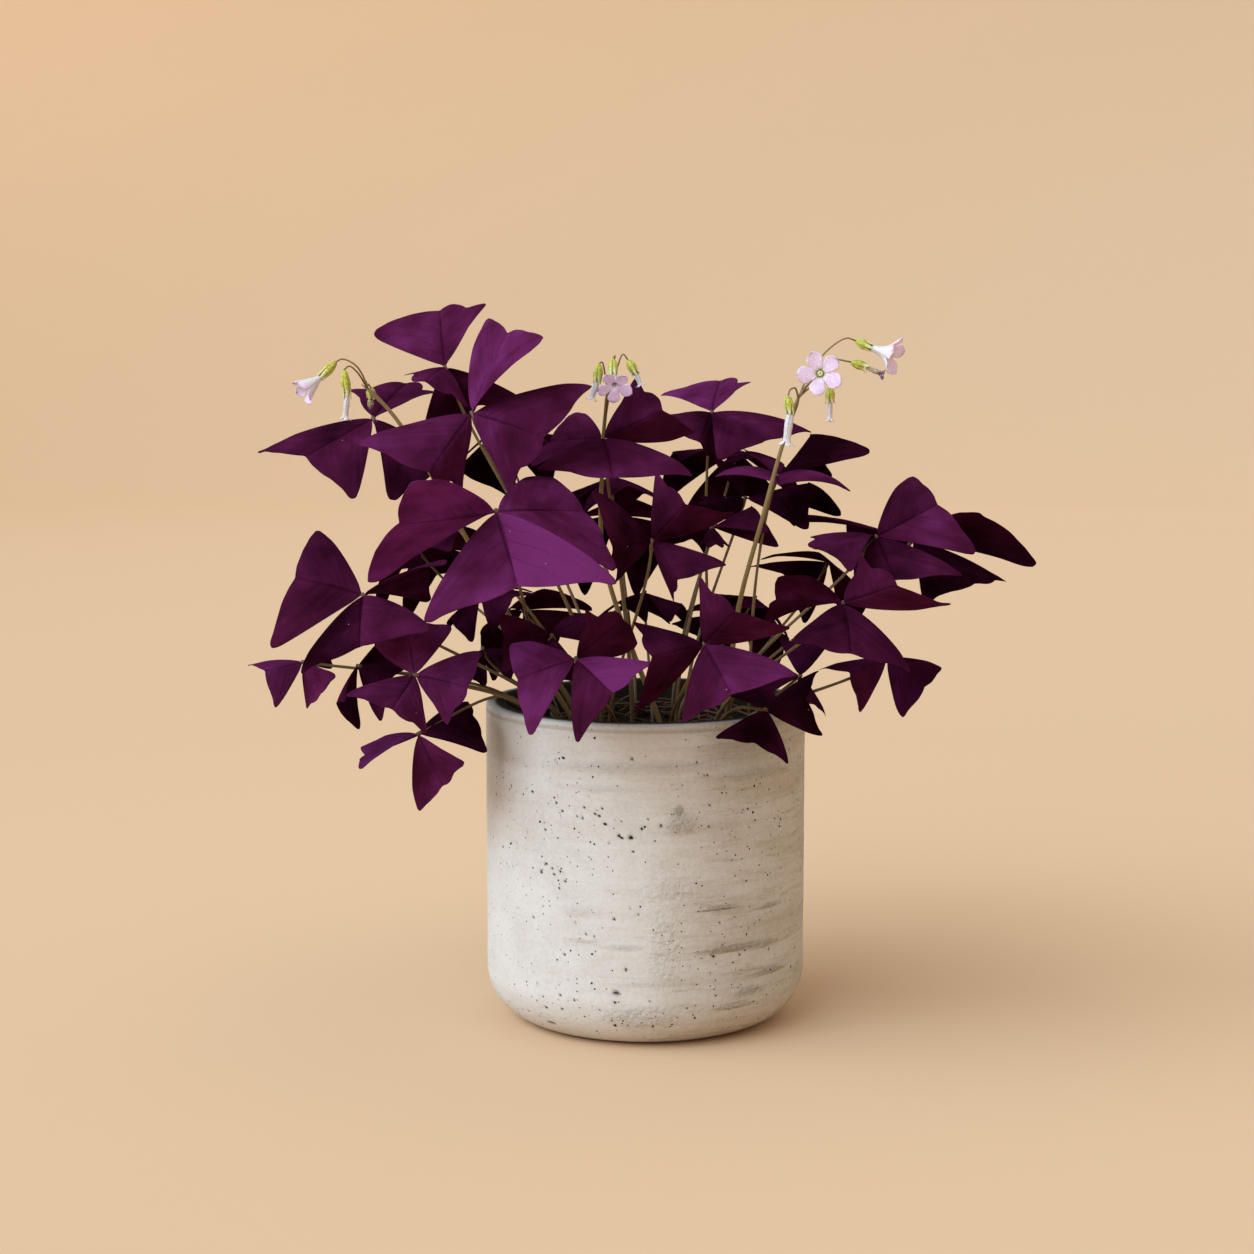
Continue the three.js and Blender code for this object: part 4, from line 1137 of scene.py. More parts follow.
def studio_paint(add, settings):
    """Matt emulsion on the floor and wall, mixed a little lighter where less light falls."""
    tone = add("Attribute", attribute_name="tone").outputs["Fac"]
    dark, light = ([share * channel for channel in settings.floor] for share in PAINT_SHADES)
    return {
        "Base Color": add("Mix", [tone, dark, light], data_type="RGBA"), "Roughness": 0.9,
        "Specular IOR Level": 0.1,
    }


# ---- flowers ----
PETALS = 5
PETAL_ROWS = 26
PETAL_COLUMNS = 12
SEPAL_ROWS = 12
SEPAL_COLUMNS = 6
# Forms of a corolla from the calyx to the mouth. Rows are [share of the length, radius, half width
# of a petal], radius as a share of the mouth's and width as a share of the gap to the next petal.
COROLLA_FORMS = {
    "open": [
        [0, 0.12, 1.08], [0.4, 0.14, 1.08], [0.72, 0.16, 1.08], [0.84, 0.28, 1.06],
        [0.9, 0.5, 0.94], [0.96, 0.76, 0.68], [1, 1, 0],
    ],
    "trumpet": [
        [0, 0.15, 1.08], [0.25, 0.2, 1.08], [0.48, 0.32, 1.06], [0.66, 0.5, 1.0],
        [0.81, 0.7, 0.86], [0.93, 0.88, 0.6], [1, 1, 0],
    ],
    "funnel": [
        [0, 0.15, 1.08], [0.2, 0.28, 1.08], [0.42, 0.46, 1.08], [0.64, 0.64, 1.02],
        [0.82, 0.82, 0.92], [0.92, 0.94, 0.7], [1, 1.02, 0],
    ],
    "furled": [
        [0, 0.52, 1.15], [0.3, 0.6, 1.15], [0.6, 0.54, 1.12], [0.8, 0.56, 1.02],
        [0.91, 0.9, 0.6], [1, 1.3, 0],
    ],
    "bud": [
        [0, 0.7, 1.2], [0.3, 1, 1.2], [0.55, 0.95, 1.2], [0.8, 0.55, 1.2], [1, 0.05, 1],
    ],
}


def side_ways(axis, roll):
    """Two ways across an axis, turned by roll radians from the way up."""
    up = unit(UP - axis * (UP @ axis) + RIGHT * 1e-6)
    across = np.cross(axis, up)
    cos, sin = math.cos(roll), math.sin(roll)
    return up * cos + across * sin, across * cos - up * sin


def open_sheet(rows, columns):
    """Ways along and across a petal or sepal, as a column and a row, and the faces of its grid."""
    faces = grid_faces(np.arange(rows * columns).reshape(rows, columns))
    return np.linspace(0, 1, rows)[:, None], np.linspace(-1, 1, columns)[None, :], faces


def round_axis(start, axis, side_way, other_way, deep, out, angle):
    """Points that lie deep along an axis from start, out from it and at an angle round it."""
    points = start + deep[..., None] * axis + (out * np.cos(angle))[..., None] * side_way
    return (points + (out * np.sin(angle))[..., None] * other_way).reshape(-1, 3)


def all_ways(along, across):
    """The ways of both faces of a sheet that is made solid."""
    ways = np.stack(np.broadcast_arrays(along, across), axis=-1).reshape(-1, 2)
    return np.vstack([ways, ways])


LOBE_START = 0.72  # share of a petal's length from which its end is rounded
LOBE_ROUNDNESS = 3.2


def petal_sheets(start, axis, length_mm, flower, v, u, rng):
    """The points of the five open sheets of a corolla, from the calyx out along axis."""
    table = smooth_curve([[0, *row] for row in COROLLA_FORMS[flower["form"]]], 8)[:, 1:]
    walked = np.linspace(0, 1, len(table))
    along, reach, width = (np.interp(v, walked, table[:, k]) for k in range(3))
    past = np.clip((v - LOBE_START) / (1 - LOBE_START), 0, 1)
    rounded = np.sqrt(np.clip(1 - past ** LOBE_ROUNDNESS, 0, 1))
    widest = np.interp(LOBE_START, v.ravel(), width.ravel())
    half = (math.pi / PETALS) * np.where(v > LOBE_START, widest, width) * rounded
    radius = flower["radius"]
    sides = side_ways(axis, flower["roll"])
    for petal in range(PETALS):
        centre = 2 * math.pi * petal / PETALS + flower.get("twist", 0.0) * v
        stretch = 1 + rng.uniform(-0.08, 0.08) * smooth_step((v - 0.5) * 2)
        out = radius * reach * stretch * (1 - 0.1 * np.abs(u) ** 3 * v)
        phase = rng.uniform(0, 6.3)
        curl = 0.05 * radius * np.sin(5 * v + 2.2 * u + phase) * v ** 2
        curl = curl - 0.07 * radius * u ** 2 * smooth_step((v - 0.5) * 2)
        yield round_axis(start, axis, *sides, length_mm * along + curl, out, centre + u * half)


# Where in the noise the pushes in x, y and z are read. Blender's own vector noise changes from one
# run to the next, and these don't.
CRUMPLE_FIELDS = (0, 40, 80)


def add_petals(draft, start, end, flower, rng):
    settings = bpy.context.scene.shamrock_flower
    axis = unit(end - start)
    v, u, faces = open_sheet(PETAL_ROWS, PETAL_COLUMNS)
    ways = all_ways(v, u)
    along = ways[:len(ways) // 2, 0]
    crumple = flower.get("crumple", 0.0)
    for points in petal_sheets(start, axis, np.linalg.norm(end - start), flower, v, u, rng):
        if crumple:
            shake = rng.normal(0, crumple, 3)
            for point, share in zip(points, along):
                spot = Vector(point * 0.9 + shake)
                push = [noise.noise(spot + Vector((0, 0, apart))) for apart in CRUMPLE_FIELDS]
                point += np.array(push) * crumple * share
        thickness = settings.petal_thickness / MM * (1 - 0.5 * along)
        from_axis = points - (start + np.outer((points - start) @ axis, axis))
        inward = -from_axis[:PETAL_COLUMNS].mean(axis=0)
        solid, solid_faces, sides = thicken(points, faces, thickness, inward)
        draft.add(solid, solid_faces, ways, sides)


SEPAL_THICKNESS = 0.24
SEPAL_WIDTH = 0.95  # share of the room for it
SEPAL_TAPER = 0.45  # share of its length from which it narrows to its point


def add_sepals(draft, start, end, radius, rng, open_tips):
    """A calyx of five pointed sepals round a closed core."""
    axis = unit(end - start)
    length_mm = np.linalg.norm(end - start)
    v, u, faces = open_sheet(SEPAL_ROWS, SEPAL_COLUMNS)
    ways = all_ways(v, u)
    swell = np.interp(v, [0, 0.12, 0.45, 0.8, 1], [0.25, 0.65, 1, 0.86, 0.8 + open_tips])
    pointed = 1 - np.clip((v - SEPAL_TAPER) / (1 - SEPAL_TAPER), 0, 1) ** 1.4
    half = SEPAL_WIDTH * (math.pi / PETALS) * np.sqrt(np.clip(pointed, 0, 1))
    side_way, other_way = side_ways(axis, rng.uniform(0, 6.3))
    for sepal in range(PETALS):
        tall = length_mm * (1.08 + rng.uniform(-0.06, 0.06))
        angle = 2 * math.pi * sepal / PETALS + u * half
        out = radius * swell * (1.02 + 0.1 * (1 - u ** 2))
        points = round_axis(start, axis, side_way, other_way, v * tall, out, angle)
        outward = points[SEPAL_COLUMNS * 4] - start
        outward = outward - axis * (outward @ axis)
        solid, solid_faces, _ = thicken(points, faces, SEPAL_THICKNESS, outward)
        draft.add(solid, solid_faces, ways, 1)
    shares = np.linspace(0, 0.9, 9)
    core = np.interp(shares, [0, 0.12, 0.45, 0.9], [0.2, 0.6, 0.9, 0.62]) * radius
    core[-1] *= 0.4
    draft.add(*tube(start + np.outer(shares * length_mm, axis), core, 12), 1)


STAMENS = 10
STAMEN_RADII = [0.13] * 6 + [0.32, 0.55, 0.58, 0.3]  # a thread with an anther at its end


def add_stamens(draft, throat, mouth):
    """Short and tall stamens by turns, in a ring that spreads out."""
    axis = unit(mouth - throat)
    side_way, other_way = side_ways(axis, 0.3)
    for i in range(STAMENS):
        turn = 2 * math.pi * i / STAMENS
        share, spread = (0.72, 1.15) if i % 2 else (0.86, 0.6)
        lean = side_way * math.cos(turn) + other_way * math.sin(turn)
        foot = throat + axis * 0.5 + lean * 0.35
        tip = throat + axis * (np.linalg.norm(mouth - throat) * share) + lean * spread
        path = evenly(np.array([foot, (foot + tip) / 2 + lean * 0.1, tip]), len(STAMEN_RADII))
        draft.add(*tube(path, STAMEN_RADII, 7), 2)


def corolla_piece(name, flower, materials, seed):
    throat = place(*flower["throat"])
    mouth = place(*flower["mouth"])
    foot = throat + unit(mouth - throat) * CLEARANCE
    draft = Draft()
    add_petals(draft, foot, mouth, flower, np.random.default_rng(seed))
    if flower.get("stamens"):
        add_stamens(draft, throat, mouth)
    piece = draft.make(name + "_flower", materials)
    keep(piece, flower.get("slot", "petal"), "corolla_" + name)


STEM_RINGS = 44
STEM_SIDES = 12
STEM_HEAD = (1.1, 1.3, 0.7)  # the swelling where the pedicels part, as shares of its radius
PEDICEL_RINGS = 22
PEDICEL_SIDES = 8
BRACT_RINGS = 7
BRACT_RADII = (0.55, 0.08)  # mm, at its foot and tip


def flower_stem_piece(name, stalk, materials, seed):
    settings = bpy.context.scene.shamrock_flower
    rng = np.random.default_rng(seed)
    spots = [place(*spot) for spot in stalk["stem"]]
    ground = np.array([*stalk["root"], SOIL_TOP], float)
    stem = smooth_curve([ground, *spots], 14)
    stem = evenly(np.vstack([ground - UP * PLANTED_DEPTH, stem]), STEM_RINGS)
    share = np.linspace(0, 1, len(stem))
    radii = settings.scape_foot / MM * (1 - share) + settings.scape_top / MM * share
    radii[-3:] *= STEM_HEAD
    draft = Draft()
    draft.add(*tube(stem, radii, STEM_SIDES))
    node = spots[-1] - unit(spots[-1] - spots[-2]) * settings.scape_top / MM
    for flower in (FLOWERS[key] for key in FLOWERS if key.startswith(name + "_")):
        base = place(*flower["base"])
        throat = place(*flower["throat"])
        bend = [node, *[place(*spot) for spot in flower["pedicel"]], base]
        path = evenly(smooth_curve(bend, 8), PEDICEL_RINGS)
        thread = settings.pedicel / MM * np.linspace(1.15, 0.95, PEDICEL_RINGS)
        draft.add(*tube(path, thread, PEDICEL_SIDES))
        add_sepals(draft, base, throat, settings.calyx / MM, rng, flower.get("open_tips", 0.0))
    for side in (-1, 1):  # the two small bracts under the umbel
        way = unit(unit(spots[-1] - spots[-2]) + RIGHT * side * 0.6)
        bract = np.array([node, node + way * 1.6, node + way * 2.8 + UP * 0.4])
        path = evenly(bract, BRACT_RINGS)
        draft.add(*tube(path, np.linspace(*BRACT_RADII, BRACT_RINGS), 7))
    piece = draft.make(name + "_flower_stem", materials)
    keep(piece, "flower_stalk", "flower_stalk_" + name)


# ---- the pot ----
def arc(centre_r, centre_z, radius, start, end, steps):
    """Points of an outline, [radius, height], on an arc from start to end in degrees."""
    angles = np.radians(np.linspace(start, end, steps + 1))
    return [[centre_r + radius * math.cos(a), centre_z + radius * math.sin(a)] for a in angles]


# Places on the wall are drawn on the elevation, [u, v], and their sizes are in mm.
CROWDS = [  # where small air pits crowd: [u, v, half width, half height, how crowded]
    [575, 812, 18, 7, 0.7], [640, 825, 16, 7, 0.8], [675, 822, 9, 7, 0.9], [552, 872, 10, 6, 0.8],
    [520, 832, 16, 6, 0.4], [515, 800, 9, 6, 0.6], [517, 910, 6, 5, 0.8], [580, 935, 16, 9, 0.5],
    [640, 930, 14, 12, 0.4], [515, 988, 8, 6, 1.0], [555, 1003, 18, 8, 0.6], [705, 770, 14, 8, 0.5],
    [760, 815, 14, 9, 0.7], [720, 830, 16, 14, 0.4], [740, 880, 20, 20, 0.35],
    [745, 935, 18, 10, 0.6], [790, 960, 5, 8, 1.0], [640, 1020, 18, 6, 1.0], [665, 945, 8, 12, 0.7],
    [600, 1025, 8, 5, 0.7], [700, 1010, 16, 8, 0.6],
]
PITS = [  # the larger air pits: [u, v, radius]
    [511, 786, 0.5], [532, 792, 0.5], [496, 794, 0.5], [548, 803, 0.4], [556, 803, 0.4],
    [562, 811, 0.45], [577, 817, 0.4], [582, 818, 0.5], [584, 808, 0.4], [599, 816, 0.5],
    [605, 824, 0.55], [595, 814, 0.4], [602, 809, 0.45], [619, 836, 0.65], [622, 838, 0.45],
    [631, 838, 0.9], [642, 829, 0.6], [648, 820, 0.4], [661, 826, 0.6], [668, 826, 0.4],
    [710, 805, 0.5], [709, 826, 0.4], [546, 864, 0.5], [552, 869, 0.55], [541, 872, 0.65],
    [560, 872, 0.5], [563, 871, 0.4], [554, 874, 0.4], [565, 881, 0.5], [559, 888, 0.5],
    [609, 844, 0.4], [633, 852, 0.4], [545, 830, 0.4], [555, 760, 0.45], [563, 758, 0.5],
    [632, 759, 0.6], [705, 776, 0.45], [708, 775, 0.4], [697, 763, 0.4], [775, 818, 0.4],
    [781, 819, 0.5], [780, 826, 0.4], [748, 809, 0.4], [630, 908, 0.45], [638, 914, 0.45],
    [614, 919, 0.5], [575, 923, 0.4], [533, 917, 0.4], [586, 934, 0.4], [594, 938, 0.4],
    [564, 955, 0.5], [626, 970, 0.5], [740, 955, 0.4], [714, 957, 0.65], [690, 967, 0.4],
    [769, 949, 0.5], [771, 970, 0.4], [791, 967, 0.55], [797, 963, 0.5], [795, 947, 0.5],
    [537, 984, 0.5], [560, 995, 0.4], [574, 1000, 0.5], [546, 1008, 0.7], [562, 1009, 0.5],
    [528, 1011, 0.5], [600, 1010, 0.4], [615, 1003, 0.45], [650, 1002, 0.4], [615, 1026, 0.6],
    [597, 1032, 0.4], [653, 1027, 0.5], [695, 1018, 0.4],
]
SHARP = 1.5  # how sharply a pit or a rough patch ends
ROUGH = [  # broken or crumbly skin, stains and painted shadows: [u, v, half width, half height, depth, shade]
    [679, 812, 1.6, 2.6, 0.5, 0.2], [680, 824, 6, 4, 0.3, 0.04], [616, 993, 1.5, 0.8, 0.9, 0.6],
    [551, 1023, 1.8, 0.6, 0.6, 0.5], [765, 943, 10, 1.2, 0.22, 0.06], [735, 948, 16, 1, 0.25, 0.08],
    [770, 970, 10, 1, 0.22, 0.07], [720, 908, 8, 0.8, 0.3, 0.1], [770, 905, 8, 0.8, 0.2, 0.07],
    [735, 1005, 9, 1.2, 0.22, 0], [750, 990, 8, 1.5, 0.25, 0.02], [665, 950, 7, 16, 0.1, 0],
    [640, 1018, 14, 5, 0.15, 0.05], [670, 895, 12, 8, 0.08, 0], [650, 769, 45, 2.2, 0.08, 0.09],
    [755, 773, 18, 2.6, 0.1, 0.13], [600, 788, 18, 1.6, 0.05, 0.06], [580, 912, 9, 1.6, 0.04, 0.05],
    [624, 947, 7, 1.3, 0.08, 0.08], [583, 940, 8, 1, 0.05, 0.07], [563, 895, 5, 2, 0, 0.05],
    # The last three marks, just under the rim where leaves hang over it, are painted shadows.
    [640, 984, 12, 1.2, 0.05, 0.05], [690, 735, 30, 5, 0, 0.04], [500, 750, 4.5, 13, 0, 0.14],
    [742, 750, 16, 9, 0, 0.11],
]


def wall_height(z):
    """The height of a place on the wall, with the rounded foot rolled out flat."""
    sunk = np.clip((POT_CORNER - z) / POT_CORNER, 0, 1)
    return np.where(z > POT_CORNER, z, POT_CORNER * (1 - np.arcsin(sunk)))


def on_wall(u, v):
    """How far round the wall to the right and how high up it a drawn place lies, mm."""
    for depth in np.arange(-POT_RADIUS - 1, 0, 0.05):
        x, y, z = place(u, v, depth)
        sunk = max(0, POT_CORNER - z)
        radius = POT_RADIUS - POT_CORNER + math.sqrt(max(0, POT_CORNER ** 2 - sunk ** 2))
        if math.hypot(x, y) <= radius:
            return POT_RADIUS * math.atan2(x, -y), wall_height(z)
    raise ValueError("no place on the pot's wall is drawn at " + str((u, v)))


def wall_weight(right, up, spot, half_width, half_height, sharpness=1):
    """1 in the middle of a place on the wall and 0 well outside it."""
    centre, height = on_wall(*spot)
    around = 2 * math.pi * POT_RADIUS
    apart = (right - centre + around / 2) % around - around / 2
    return np.exp(-((apart / half_width) ** 2 + ((up - height) / half_height) ** 2) ** sharpness)


def pot_profile(row_step):
    """The outline of the pot from the middle of its base, up its wall and down inside."""
    corner = math.ceil(POT_CORNER * math.pi / 2 / row_step)
    wall = math.ceil((POT_HEIGHT - POT_LIP - POT_CORNER) / row_step)
    inner_radius = POT_RADIUS - POT_WALL
    inner_corner = POT_CORNER - POT_WALL
    outer = arc(POT_RADIUS - POT_CORNER, POT_CORNER, POT_CORNER, -90, 0, corner)
    outer += [
        [POT_RADIUS, POT_CORNER + (POT_HEIGHT - POT_LIP - POT_CORNER) * i / wall]
        for i in range(1, wall)
    ]
    outer += arc(POT_RADIUS - POT_LIP, POT_HEIGHT - POT_LIP, POT_LIP, 0, 90, 4)
    inner = arc(inner_radius + POT_LIP, POT_HEIGHT - POT_LIP, POT_LIP, 90, 180, 4)
    inner += [[inner_radius, z] for z in (125, 121, 117, 110, 90, 60, 30)]
    inner += arc(inner_radius - inner_corner, POT_FLOOR + inner_corner, inner_corner, 0, -90, 6)
    under = [[(POT_RADIUS - POT_CORNER) * share, 0] for share in (0.35, 0.7, 0.9)]
    return np.array(under + outer + inner), len(under) + len(outer)


INNER_SHADE = 1  # how dark the inside of the pot is painted: painted shade
WAVE_WIDTH = 34  # mm, of the slow waves of the cast wall
WAVE_HEIGHT = 16
GRAIN_SIZE = 2.6  # mm, of the coarse grain, which comes and goes in patches
GRAIN_PATCH = 24
GRAIN_DEPTH = 0.2
CHIP_SIZE = 1.9  # mm, of the crumbs that broken skin has lost
CHIP_DEPTH = 0.5
CHIP_RAGGEDNESS = 1.3
FOOT_FADE = 3  # mm above the base over which the wear sets in
BASE_FADE = 0.8  # mm above the base over which every dent does
SEAM_HEIGHT = 127.4  # mm, of the mould's seam under the lip
SEAM_WIDTH = 0.5
SEAM_DEPTH = 0.22
# The seam's line is painted darker: painted shade in its crease under the lip.
SEAM_SHADE = 0.3


def wall_marks(right, up, rng):
    """For each point of the wall, how deep a mark it lies in, how dark, crowded and rough it is."""
    crowd = 0.2 + 0.15 * np.sin(right / 23) * np.sin(up / 17)
    sink, tone, rough = (np.zeros(crowd.shape) for _ in range(3))
    for u, v, half_width, half_height, much in CROWDS:
        crowd = np.maximum(crowd, much * wall_weight(right, up, (u, v), half_width, half_height))
    for u, v, half_width, half_height, depth, shade in ROUGH:
        weight = wall_weight(right, up, (u, v), half_width, half_height, SHARP)
        sink = np.maximum(sink, weight * depth)
        tone = np.maximum(tone, weight * shade)
        rough = np.maximum(rough, weight * min(1, depth * 4))
    for u, v, radius in PITS:
        wide, tall = radius * rng.uniform(0.85, 1.3), radius * rng.uniform(0.7, 1.1)
        weight = wall_weight(right, up, (u, v), wide, tall, SHARP)
        sink = np.maximum(sink, weight * radius)
        tone = np.maximum(tone, weight)
    return sink, tone, crowd, rough


def wear(spot, rough, unevenness):
    """How deep the wall lies at a place, mm: slow waves, coarse grain and crumbled skin."""
    slow = noise.noise(Vector((spot.x / WAVE_WIDTH, spot.y / WAVE_WIDTH, spot.z / WAVE_HEIGHT)))
    patch = max(0, noise.noise(spot / GRAIN_PATCH + Vector((5, 5, 5))))
    coarse = noise.noise(spot / GRAIN_SIZE) * patch
    chipped = noise.noise(spot / CHIP_SIZE) * rough * CHIP_RAGGEDNESS
    return unevenness * (0.5 + 0.5 * slow) + GRAIN_DEPTH * coarse + CHIP_DEPTH * chipped


def pot_piece(material):
    settings = bpy.context.scene.shamrock_pot
    profile, outer_count = pot_profile(settings.row_step / MM)
    half_turn = math.pi * POT_RADIUS
    front = math.ceil(half_turn / (settings.front_step / MM))
    back = math.ceil(half_turn / (settings.back_step / MM))
    front_turns = np.linspace(-math.pi, 0, front, endpoint=False)
    turns = np.concatenate([front_turns, np.linspace(0, math.pi, back, endpoint=False)])
    rows, columns = len(profile), len(turns)
    slope = np.gradient(profile, axis=0)
    normal = np.stack([slope[:, 1], -slope[:, 0]], axis=1)
    normal /= np.linalg.norm(normal, axis=1)[:, None]
    r, z = profile[:, :1], profile[:, 1:]
    right = POT_RADIUS * (turns + math.pi / 2)[None, :]  # round the wall from the front, mm
    sink, tone, crowd, rough = wall_marks(right, wall_height(z), np.random.default_rng(11))
    sink[outer_count:] = 0
    # The inside of the pot is painted dark: painted shade.
    tone[outer_count:] = INNER_SHADE
    places = np.stack(np.broadcast_arrays(r * np.cos(turns), r * np.sin(turns), z), axis=-1)
    unevenness = settings.unevenness / MM
    for i in range(outer_count):
        fade = min(1, z[i, 0] / FOOT_FADE)
        for j in range(columns):
            sink[i, j] += fade * wear(Vector(places[i, j]), rough[i, j], unevenness)
    seam = np.exp(-((z - SEAM_HEIGHT) / SEAM_WIDTH) ** 2)
    seam[outer_count:] = 0
    sink = (sink + SEAM_DEPTH * seam) * np.clip(z / BASE_FADE, 0, 1)
    tone = np.clip(tone + SEAM_SHADE * seam, 0, 1)
    places[..., 0] -= sink * normal[:, :1] * np.cos(turns)
    places[..., 1] -= sink * normal[:, :1] * np.sin(turns)
    places[..., 2] -= sink * normal[:, 1:]
    ways = np.stack([crowd.ravel(), rough.ravel()], axis=1)
    draft = Draft()
    draft.add(
        np.vstack([places.reshape(-1, 3), [[0, 0, 0], [0, 0, POT_FLOOR]]]),
        [face[::-1] for face in ring_faces(rows, columns)], np.vstack([ways, np.zeros((2, 2))]),
        tone=np.append(tone.ravel(), [0, INNER_SHADE]),
    )
    piece = draft.make("concrete_pot", [material])
    keep(piece, "concrete", "pot")


# ---- the soil ----
SOIL_RADIUS = POT_RADIUS - POT_WALL - CLEARANCE
SOIL_RINGS = 45
SOIL_COLUMNS = 150
SOIL_BUMPS = ((9, 1.1), (3.2, 0.6), (1.4, 0.35))  # how wide and how high, mm
CRUMBS = 420
CRUMB_SIZES = (0.6, 1.9)
DRY_STALKS = 90
DRY_RINGS = 14
DRY_RADII = (0.55, 0.3)  # mm, from one end to the other


def ball(centre, radius, rng):
    """A lumpy little closed ball: an octahedron cut once, pushed in and out."""
    corners = np.array([[1, 0, 0], [-1, 0, 0], [0, 1, 0], [0, -1, 0], [0, 0, 1], [0, 0, -1]], float)
    faces = [[0, 2, 4], [2, 1, 4], [1, 3, 4], [3, 0, 4], [2, 0, 5], [1, 2, 5], [3, 1, 5], [0, 3, 5]]
    points = [*corners]
    middles = {}
    cut = []
    for a, b, c in faces:
        mids = []
        for pair in ((a, b), (b, c), (c, a)):
            key = tuple(sorted(pair))
            if key not in middles:
                middles[key] = len(points)
                points.append(unit(points[key[0]] + points[key[1]]))
            mids.append(middles[key])
        ab, bc, ca = mids
        cut += [[a, ab, ca], [ab, b, bc], [ca, bc, c], [ab, bc, ca]]
    points = np.array(points)
    points = points * rng.uniform(0.7, 1.15, (len(points), 1)) * radius * rng.uniform(0.7, 1.2, 3)
    return points + centre, cut


def soil_height(x, y):
    """Height of the soil's top, mm, a low dome with a crumbly surface."""
    share = math.hypot(x, y) / SOIL_RADIUS
    spot = Vector((x, y, 0))
    bumps = sum(high * noise.noise(spot / wide) for wide, high in SOIL_BUMPS)
    return SOIL_TOP - SOIL_DOME * share ** 2 + bumps * (1 - share ** 8)


def soil_piece(materials):
    rng = np.random.default_rng(5)
    turns = np.linspace(0, 2 * math.pi, SOIL_COLUMNS, endpoint=False)
    rings = []
    for radius in np.linspace(0, SOIL_RADIUS, SOIL_RINGS + 1)[1:]:
        xs, ys = radius * np.cos(turns), radius * np.sin(turns)
        rings.append([[x, y, soil_height(x, y)] for x, y in zip(xs, ys)])
    corner = POT_CORNER - POT_WALL
    below = [[SOIL_RADIUS, POT_FLOOR + corner]]
    below += arc(SOIL_RADIUS - corner, POT_FLOOR + CLEARANCE + corner, corner, 0, -90, 5)
    for radius, height in below:
        rings.append([[radius * math.cos(a), radius * math.sin(a), height] for a in turns])
    ends = [[0, 0, soil_height(0, 0)], [0, 0, POT_FLOOR + CLEARANCE]]
    draft = Draft()
    draft.add(np.vstack([np.reshape(rings, (-1, 3)), ends]), ring_faces(len(rings), SOIL_COLUMNS))
    for _ in range(CRUMBS):
        radius = SOIL_RADIUS * math.sqrt(rng.uniform(0, 0.93))
        turn = rng.uniform(0, 2 * math.pi)
        size = rng.uniform(*CRUMB_SIZES)
        x, y = radius * math.cos(turn), radius * math.sin(turn)
        draft.add(*ball([x, y, soil_height(x, y) + 0.2 * size], size, rng))
    for _ in range(DRY_STALKS):
        radius = SOIL_RADIUS * rng.uniform(0.35, 0.86)
        turn = rng.uniform(0, 2 * math.pi)
        middle = np.array([radius * math.cos(turn), radius * math.sin(turn), 0])
        middle[2] = soil_height(*middle[:2]) + rng.uniform(0.8, 7)
        heading = turn + math.pi / 2 + rng.normal(0, 0.4)
        way = np.array([math.cos(heading), math.sin(heading), rng.normal(0, 0.22)])
        reach = rng.uniform(6, 14)
        bow = rng.uniform(-1.5, 1.5)
        out = unit(middle * (1, 1, 0))
        spots = [
            middle - way * reach - out * bow * 2,
            middle + UP * rng.uniform(0, 1.6),
            middle + way * reach - out * (bow * 2 + 2),
        ]
        path = evenly(smooth_curve(spots, 8), DRY_RINGS)
        draft.add(*tube(path, np.linspace(*DRY_RADII, DRY_RINGS), 6), 1)
    piece = draft.make("potting_soil_fill", materials)
    keep(piece, "potting_soil", "soil")


# ---- stage, light and camera ----
STAGE_FLOOR = 2600
STAGE_CORNER = 900
STAGE_WALL = 1250
STAGE_COLUMNS = 96
FLOOR_RINGS = 10
CORNER_RINGS = 24
# Where the two windows are: degrees round to the left from the front, and share of the light.
WINDOWS = {"side_window_light": (80, 0.5), "front_window_light": (37, 0.58)}
KEY_HEIGHT = 31  # degrees above the floor
KEY_SPREAD = 46  # degrees, the size that the light looks from the plant
PAINT_SHADES = (0.6, 1.25)  # darkest and lightest paint, as shares of the floor's
FLOOR_GLOW = 0.4  # share of the floor's light that the wall gets from the floor
WALL_GLOW = 0.08  # share that the far floor gets from the wall
WALL_GLOW_FROM = 700  # mm from the plant, where that is all there
GLOW_TO_THE_RIGHT = 0.5  # how much more of both is on the right, which the window lights


def light_on(slope, turn, settings):
    """How much light falls on the stage where it slopes up that much at that turn, in radians."""
    height = math.radians(KEY_HEIGHT)
    light = settings.room_strength * (1 + np.cos(slope)) / 2
    for degrees, share in WINDOWS.values():
        azimuth = math.radians(degrees)
        level = -np.cos(turn) * math.sin(azimuth) - np.sin(turn) * math.cos(azimuth)
        facing = np.cos(slope) * math.sin(height) - np.sin(slope) * level * math.cos(height)
        soft = (facing + np.hypot(facing, 0.5 * math.sin(math.radians(KEY_SPREAD / 2)))) / 2
        light = light + settings.key_strength * share * soft / math.pi
    return light


